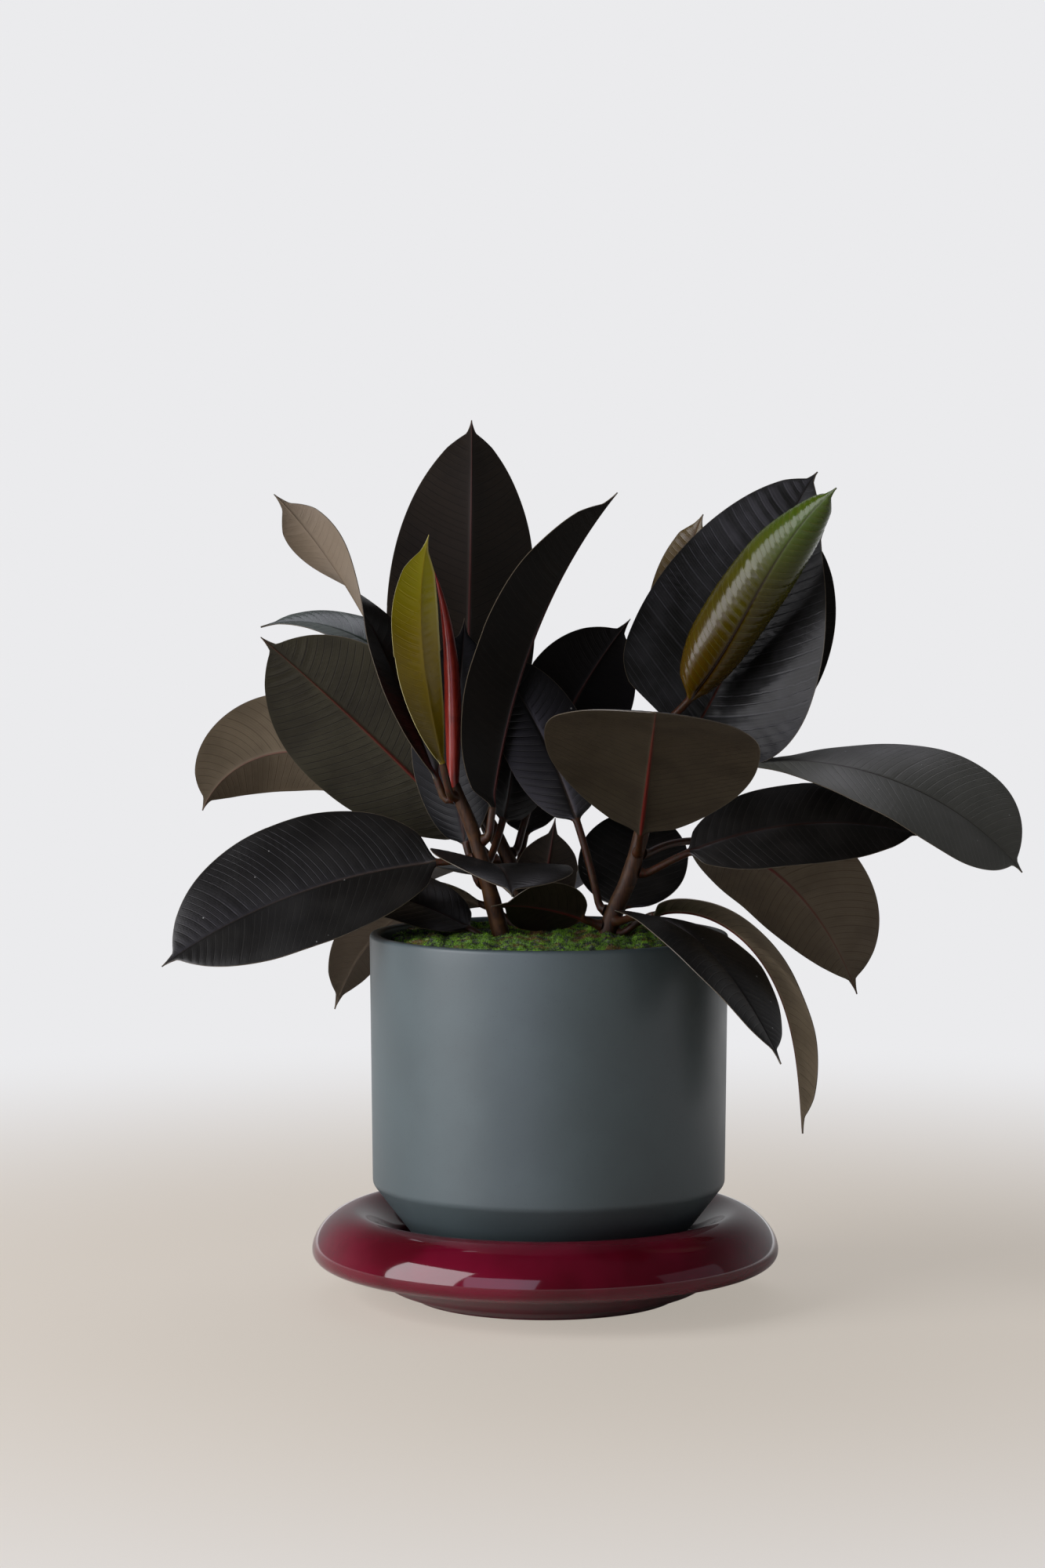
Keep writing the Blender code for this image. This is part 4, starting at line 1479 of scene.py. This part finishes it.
@dataclass(frozen=True)
class Bed:
    """A closed round bed with an uneven top, in millimetres, centred in the pot.

    Sides are the (radius, height) of the rings under the top, from the bottom upwards.
    """

    name: str
    slot: str
    sides: Profile
    top: float
    lump: float
    grain: Grain
    spacing: float
    size: float
    lean: float
    seed: int
    circles: int = 44
    columns: int = 168

    def reach(self, turn: float) -> float:
        """The bed's radius in a direction, as a share of its full radius, 0 being +X."""
        return 1.0

    def height(self, x: float, y: float) -> float:
        """The top's height at a place: mounds 15 to 25 mm wide, with tufts on them.

        Args:
            x: millimetres from the axis to the right.
            y: millimetres from the axis to the back.

        Returns:
            Millimetres above the floor.
        """
        mound = ripple(x / 3.9, self.seed + 2) + ripple(y / 3.4, self.seed + 3)
        tuft = ripple(x / 1.5 + 1.3 * ripple(y / 2.6, self.seed), self.seed + 1)
        tuft = tuft + ripple(y / 1.3 + x / 4, self.seed + 4)
        return self.top + self.lump * float(0.33 * mound + 0.2 * tuft)

    def dress(self) -> bpy.types.Material:
        """The bed's material."""
        raise NotImplementedError

    def build(self) -> None:
        """Makes the bed, strews it and hands it over."""
        low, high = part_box("pot")
        middle = (low.x + high.x) / 2 / MM
        turns = np.linspace(0, 2 * math.pi, self.columns, endpoint=False)
        share = np.array([self.reach(t) for t in turns])
        rings = [(r * share, np.full(self.columns, z)) for r, z in self.sides]
        rim, wall = self.sides[-1]
        for row in range(self.circles):
            radius = rim * share * (1 - (row / self.circles) ** 1.1)
            tops = [self.height(r * math.cos(t), r * math.sin(t)) for r, t in zip(radius, turns)]
            shoulder = math.sin(min(1.0, (row + 0.4) / 3) * math.pi / 2)
            rings.append((radius, wall + (np.array(tops) - wall) * shoulder))
        rings = [np.stack([r * np.cos(turns) + middle, r * np.sin(turns), z], 1) for r, z in rings]
        faces = loft_faces(len(rings), self.columns)
        bed = built(self.name + "_bed", np.concatenate(rings), faces, crease=180.0)
        turn_outwards(bed)
        spacing, size = self.spacing * MM, self.size * MM
        strewn = Strewing(self.grain, spacing, size, self.lean, self.seed, self.dress())
        hand_over(strewn.run(bed, self.name + "_surface"), self.name)


@dataclass(frozen=True)
class SoilBed(Bed):
    """Crumbly potting soil, seen where the moss leaves the pot's edge bare."""

    def dress(self) -> bpy.types.Material:
        """Peat."""
        return Peat().material()


@dataclass(frozen=True)
class MossBed(Bed):
    """Sheet moss in soft mounds. It stops short of the pot's back and, less, of its sides."""

    def reach(self, turn: float) -> float:
        """The moss's radius in a direction. It draws back most behind the stems.

        Args:
            turn: the direction, 0 being +X.

        Returns:
            A share of its full radius.
        """
        right = math.exp(-((math.remainder(turn, 2 * math.pi) / 0.6) ** 2))
        left = math.exp(-((math.remainder(turn - math.pi, 2 * math.pi) / 0.5) ** 2))
        back = math.exp(-((math.remainder(turn - math.pi / 2, 2 * math.pi) / 0.8) ** 2))
        return 1 - 0.12 * right - 0.05 * left - 0.4 * back + 0.016 * float(ripple(turn * 9.0, 4.0))

    def dress(self) -> bpy.types.Material:
        """Sheet moss."""
        return SheetMoss().material()


# --------------------------------------------------------------------------------------
# The plant's design
# --------------------------------------------------------------------------------------

STEMS = (
    Stem("stem_left", ((-18, -8, 176), (-25, -9, 205), (-32, -11, 232), (-40, -12, 261),
          (-51, -13, 287))),
    Stem("stem_right", ((28, -6, 176), (37, -6, 212), (47, -5, 236), (56, -3, 270),
          (63, 0, 299), (69, 2, 320))),
    Stem("stem_back", ((-3, 26, 176), (-9, 28, 210), (-22, 30, 245), (-40, 31, 278))),
)

LEAVES = (
    # The left of the plant.
    Leaf("leaf_tall", "stem_back", 0.99, 8, 210, 93, (180, 180), (93, 90), (-112, -108), (22, 18),
         (-8, -8), tip=7, under=Under.BROWN),
    Leaf("leaf_folded", "stem_left", 0.94, 14, 184, 48, (184, 192), (70, 63, 44), (60, 30, -95), (30, 0),
         broad=1.3, under=Under.TAUPE_PAINTED_LIGHT),
    Leaf("leaf_wide", "stem_back", 0.66, 20, 166, 84, (188, 194), (48, 40), (-74, -74), (8, 5), broad=1.15,
         under=Under.OLIVE, relief=0.35),
    Leaf("leaf_behind_wide", "stem_back", 0.80, 30, 170, 60, (132, 200), (66, 48, -16), (50, 10), (12, 10),
         upper=Upper.PAINTED_SHEEN_STREAKS),
    Leaf("leaf_far_left", "stem_back", 0.60, 20, 198, 73, (146, 182), (27, 23, -70), (-46, -60), (16, 20),
         tip=7, broad=1.5, under=Under.TAUPE),
    Leaf("leaf_low_left", "stem_left", 0.63, 18, 166, 88, (185, 190), (-2, -18, -36), (45, 52), (18, 16),
         upper=Upper.DUSTY),
    Leaf("leaf_front_left", "stem_left", 0.58, 16, 96, 78, (-80, -84), (12, -2, -20), (8, 8), (12, 10),
         (-8, -8)),
    Leaf("leaf_right_leaning", "stem_left", 0.70, 18, 192, 64, (-24, -14), (84, 70, 50), (-8, -4),
         (54, 56), upper=Upper.GREY_PAINTED_SHEEN, under=Under.PAINTED_SHADE),
    Leaf("leaf_new_left", "stem_left", 0.95, 21, 130, 34, (236, 197), (68, 81, 104), (-90, -80), (8, 8),
         (-20, -10), slot="leaf_new", tip=9, broad=1.15, upper=Upper.YOUNG, under=Under.YOUNG,
         relief=0.1, hem=(1.4, 0.2), ridge=0.1, halves=(0.62, 1.0)),
    Leaf("leaf_shade_left", "stem_left", 0.50, 26, 128, 52, (128, 178), (54, 90, 92), (82, 80), (6, 6),
         upper=Upper.SHADE),
    # Middle, in the shade.
    Leaf("leaf_centre", "stem_right", 0.22, 52, 112, 48, (160, 160), (78, 66, 50), (68, 66), (4, 4),
         upper=Upper.DUSTY),
    Leaf("leaf_centre_low", "stem_left", 0.58, 32, 74, 48, (72, 12), (30, 78, 70), (-80, -80), (8, 6)),
    Leaf("leaf_back_olive", "stem_back", 0.66, 48, 104, 64, (34, 12), (74, 62, 50), (104, 98), (4, 4),
         under=Under.PAINTED_SHADE),
    # The right of the plant.
    Leaf("leaf_great", "stem_right", 0.83, 14, 171, 118, (27, -2), (43, 68, 55), (-60, -56), (24, 28),
         tip=6, broad=0.57, upper=Upper.GREY_PAINTED_SHEEN, relief=0.45, spacing=6.5),
    Leaf("leaf_new_right", "stem_right", 1.0, 18, 149, 68, (-40, -24), (34, 58, 38), (-150, -128, -84),
         (10, -4), (-135, -95), slot="leaf_new", tip=6, broad=0.75, relief=0.4, upper=Upper.UNROLLED,
         under=Under.YOUNG),
    Leaf("leaf_behind_great", "stem_right", 0.70, 36, 150, 92, (50, 10), (46, 58), (116, 98), (6, 6),
         broad=0.8, under=Under.PAINTED_SHADE),
    Leaf("leaf_brown_tip", "stem_right", 0.95, 16, 116, 36, (88, 6), (50, 80, 64), (-50, -46), (14, 10),
         (-10, -10), slot="leaf_young", tip=6, upper=Upper.BROWN),
    Leaf("leaf_fan", "stem_right", 0.48, 16, 162, 116, (-84, -92), (50, 32, 2), (14, 4), (8, 4), broad=1.1,
         under=Under.FAN),
    Leaf("leaf_reaching_right", "stem_right", 0.74, 34, 186, 96, (-9, 6), (21, -14, -50), (-2, -20, -50),
         (-8, 18), tip=7, broad=1.7, upper=Upper.DUST_AND_PAINTED_SHEEN),
    Leaf("leaf_under_right", "stem_right", 0.42, 28, 138, 60, (-4, 6), (32, 8, -16), (-44, -44), (6, 6)),
    Leaf("leaf_hanging_right", "stem_right", 0.48, 36, 150, 80, (42, 6), (24, -34, -70), (46, 48),
         (22, 20), broad=1.1, under=Under.TAUPE),
    Leaf("leaf_over_rim", "stem_right", 0.20, 18, 154, 76, (-60, -50), (22, -26, -54), (8, 22), (6, 6),
         upper=Upper.DUSTY),
    Leaf("leaf_trailing", "stem_right", 0.16, 22, 172, 66, (-18, -24), (52, -54, -86), (0, 40), (20, 20),
         under=Under.TAUPE),
    # Low and behind.
    Leaf("leaf_low_back", "stem_back", 0.26, 30, 126, 52, (150, 165), (50, -26, -72), (-25, -35), (12, 10),
         under=Under.TAUPE_PAINTED_LIGHT),
    Leaf("leaf_rim_left", "stem_left", 0.22, 14, 104, 60, (165, 170), (34, 14, -10), (20, 20), (10, 8)),
    Leaf("leaf_low_centre", "stem_right", 0.17, 10, 56, 46, (196, 204), (24, 12, -4), (-40, -40), (8, 6)),
    Leaf("leaf_centre_small", "stem_back", 0.26, 12, 58, 34, (-70, -50), (66, 78), (30, 30), (8, 6)),
    Leaf("leaf_behind_stem", "stem_right", 0.17, 16, 78, 62, (66, 80), (42, 60), (-10, -10), (8, 6)),
    Leaf("leaf_back_up", "stem_back", 0.95, 20, 150, 70, (70, 76), (44, 24, -10), (0, 0), (10, 8)),
    Leaf("leaf_back_left", "stem_back", 0.72, 24, 146, 56, (116, 124), (36, 12, -18), (0, 0), (10, 8)),
    Leaf("leaf_back_low_left", "stem_back", 0.46, 26, 150, 80, (120, 128), (24, -8, -40), (0, 0), (10, 8)),
    Leaf("leaf_back_middle", "stem_back", 0.56, 26, 126, 52, (74, 66), (58, 42, 14), (0, 0), (10, 8)),
    Leaf("leaf_back_right_up", "stem_right", 0.60, 22, 146, 70, (90, 82), (16, 4, -18), (0, 0), (10, 8)),
    Leaf("leaf_back_low_right", "stem_back", 0.28, 26, 140, 60, (88, 62), (28, 6, -22), (0, 0), (10, 8)),
)

SHEATH = Leaf("sheath_left", "stem_left", 1.0, 2, 118, 8, (180, 180), (90, 87, 72), slot="sheath")

SOIL = SoilBed(
    "soil", "soil", [(53.0, 20.0), (91.5, 67.0), (92.6, 170.0)], top=189.5, lump=3.5,
    grain=Grain.CRUMB, spacing=2.0, size=2.0, lean=3.0, seed=5,
)
MOSS = MossBed(
    "moss", "moss", [(90.0, 187.5), (92.4, 199.0)], top=203.0, lump=4.6,
    grain=Grain.FROND, spacing=0.75, size=3.0, lean=0.9, seed=11,
)


# --------------------------------------------------------------------------------------
# Studio
# --------------------------------------------------------------------------------------


@dataclass(frozen=True)
class Lamp:
    """A soft box, hung at a distance from what it aims at.

    Turn is its bearing from the front and rise its height, in degrees; more than 0 is to the
    right and up. One that is mirrored_only shows in shiny surfaces and lights nothing else.
    """

    name: str
    turn: float
    rise: float
    distance: float
    size: tuple[float, float]
    power: float
    colour: str = "#ffffff"
    aim: tuple[float, float, float] = (0.0, 0.0, 0.2)
    mirrored_only: bool = False

    def place(self) -> None:
        """Hangs the lamp, turned to face what it aims at."""
        lamp = bpy.data.lights.new(self.name, "AREA")
        lamp.shape = "RECTANGLE"
        lamp.size, lamp.size_y = self.size
        lamp.energy = self.power
        lamp.color = linear(self.colour)[:3]
        stand = bpy.data.objects.new(self.name, lamp)
        turn, rise = math.radians(self.turn), math.radians(self.rise)
        way = Vector((math.sin(turn) * math.cos(rise), -math.cos(turn) * math.cos(rise), math.sin(rise)))
        stand.location = Vector(self.aim) + way * self.distance
        stand.rotation_euler = way.to_track_quat("Z", "Y").to_euler()
        stand.visible_diffuse = not self.mirrored_only
        bpy.context.scene.collection.objects.link(stand)


@dataclass(frozen=True)
class Studio:
    """A pale floor in front of a pale wall.

    A tall soft window on the left gives most of the light, with a weak window on the right and
    a weak skylight behind. The window's edge shows only in shiny surfaces. Mirrored is how much
    of the wall shows in those, floor_glow how much of the floor's own colour the viewer sees in
    place of its shading, and fade from how far to how far out the floor turns into the wall.
    """

    wall: str = "#ebebed"
    mirrored: float = 0.3
    floor: str = "#eae1d5"
    floor_glow: float = 0.5
    floor_radius: float = 9.0
    floor_drop: float = 0.0002
    fade: tuple[float, float] = (0.25, 1.1)
    room: float = 0.035
    ambient: float = 0.1
    camera_at: tuple[float, float, float] = (-0.0127, -2.1126, 0.4196)
    camera_pitch: float = 86.4
    lens: float = 87.3
    sensor: float = 36.0
    lamps: tuple[Lamp, ...] = (
        Lamp("window", -63, 14, 2.2, (1.6, 2.1), 58, "#fbfaff", (0.0, 0.0, 0.25)),
        Lamp("window_edge", -22, 14, 2.4, (1.5, 1.5), 14, "#e2dcf8", (0.0, 0.0, 0.1), True),
        Lamp("skylight", 178, 58, 2.4, (1.8, 1.4), 11, "#f4f2ff", (0.0, 0.0, 0.25)),
        Lamp("far_window", 76, 8, 2.4, (1.6, 1.3), 1.4, "#f0ecff", (0.0, 0.0, 0.15)),
    )

    def build(self) -> None:
        """Sets up the lamps, the air, the floor and the camera."""
        for lamp in self.lamps:
            lamp.place()
        self.light_air()
        self.lay_floor()
        lens = bpy.data.cameras.new("camera")
        lens.lens, lens.sensor_width, lens.sensor_fit = self.lens, self.sensor, "AUTO"
        camera = bpy.data.objects.new("camera", lens)
        camera.location = self.camera_at
        camera.rotation_euler = (math.radians(self.camera_pitch), 0.0, 0.0)
        bpy.context.scene.collection.objects.link(camera)
        bpy.context.scene.camera = camera
        bpy.context.scene.view_settings.view_transform = "Standard"

    @staticmethod
    def seen(graph: Graph, kinds: Sequence[str]) -> Socket:
        """1 for rays of these kinds, else 0.

        Args:
            graph: the tree.
            kinds: outputs of the light path.

        Returns:
            The value.
        """
        path = graph.add("ShaderNodeLightPath")
        value = path.node.outputs[kinds[0]]
        for kind in kinds[1:]:
            value = graph.add("ShaderNodeMath", LARGER, {0: value, 1: path.node.outputs[kind]})
        return value

    def light_air(self) -> None:
        """Gives the wall to the camera, the dim room to reflections, and an even light to the rest."""
        world = bpy.data.worlds.new("studio")
        world.use_nodes = True
        world.node_tree.nodes.clear()
        bpy.context.scene.world = world
        air = Graph(world.node_tree)
        way = air.add("ShaderNodeTexCoord", gives="Generated")
        parts = air.add("ShaderNodeSeparateXYZ", {}, {"Vector": way})
        behind = {"Value": parts.node.outputs["Y"], "From Min": -0.2, "From Max": 0.7}
        behind = air.add("ShaderNodeMapRange", SMOOTH, behind)
        under = {"Value": parts.node.outputs["Z"], "From Min": 0.75, "From Max": 0.15}
        under = air.add("ShaderNodeMapRange", SMOOTH, under)
        share = air.add("ShaderNodeMath", TIMES, {0: behind, 1: under})
        share = air.add("ShaderNodeMath", TIMES, {0: share, 1: self.mirrored})
        direct = self.seen(air, ["Is Camera Ray"])
        share = air.add("ShaderNodeMath", LARGER, {0: share, 1: direct})
        dim = (self.room, self.room, self.room * 1.04, 1.0)
        view = {"Factor_Float": share, "A_Color": dim, "B_Color": self.wall}
        view = air.add("ShaderNodeMix", RGBA, view, "Result_Color")
        even = (self.ambient, self.ambient, self.ambient * 1.03, 1.0)
        shown = self.seen(air, ["Is Camera Ray", "Is Glossy Ray", "Is Transmission Ray"])
        light = {"Factor_Float": shown, "A_Color": even, "B_Color": view}
        light = air.add("ShaderNodeMix", RGBA, light, "Result_Color")
        light = air.add("ShaderNodeBackground", {}, {"Color": light, "Strength": 1.0})
        air.add("ShaderNodeOutputWorld", {}, {"Surface": light})

    def lay_floor(self) -> None:
        """Lays a round pale floor that fades into the wall with distance."""
        mesh = bpy.data.meshes.new("floor")
        shape = bmesh.new()
        bmesh.ops.create_circle(shape, cap_ends=True, segments=96, radius=self.floor_radius)
        shape.to_mesh(mesh)
        shape.free()
        mesh.transform(Matrix.Translation((0.0, 0.0, -self.floor_drop)))
        floor = placed("floor", mesh)
        board = bpy.data.materials.new("painted_board")
        board.use_nodes = True
        board.node_tree.nodes.clear()
        graph = Graph(board.node_tree)
        place = graph.add("ShaderNodeTexCoord", gives="Object")
        away = graph.add("ShaderNodeVectorMath", {"operation": "LENGTH"}, {0: place}, "Value")
        fade = {"Value": away, "From Min": self.fade[0], "From Max": self.fade[1]}
        fade = graph.add("ShaderNodeMapRange", SMOOTH, fade)
        paint = graph.add("ShaderNodeBsdfPrincipled", {}, {"Base Color": self.floor, "Roughness": 0.7})
        pale = graph.add("ShaderNodeEmission", {}, {"Color": self.floor})
        direct = self.seen(graph, ["Is Camera Ray"])
        share = graph.add("ShaderNodeMath", TIMES, {0: direct, 1: self.floor_glow})
        end = graph.add("ShaderNodeMixShader", {}, {0: share, 1: paint, 2: pale})
        glow = graph.add("ShaderNodeEmission", {}, {"Color": self.wall})
        shown = self.seen(graph, ["Is Camera Ray", "Is Glossy Ray", "Is Transmission Ray"])
        both = graph.add("ShaderNodeMath", TIMES, {0: fade, 1: shown})
        end = graph.add("ShaderNodeMixShader", {}, {0: both, 1: end, 2: glow})
        graph.add("ShaderNodeOutputMaterial", {}, {"Surface": end})
        mesh.materials.append(board)


def main() -> None:
    """Builds the plant, its pot and the studio, and reports each piece."""
    logging.basicConfig(level=logging.INFO, format="%(message)s")
    stems = {stem.name: stem for stem in STEMS}
    for stem in STEMS:
        stem.build()
    for leaf in LEAVES:
        leaf.build(stems)
    BudSheath(SHEATH).build(stems)
    for piece in (Saucer(), Pot(), SOIL, MOSS):
        piece.build()
    Studio().build()
    bpy.context.view_layer.update()


if __name__ == "__main__":
    main()
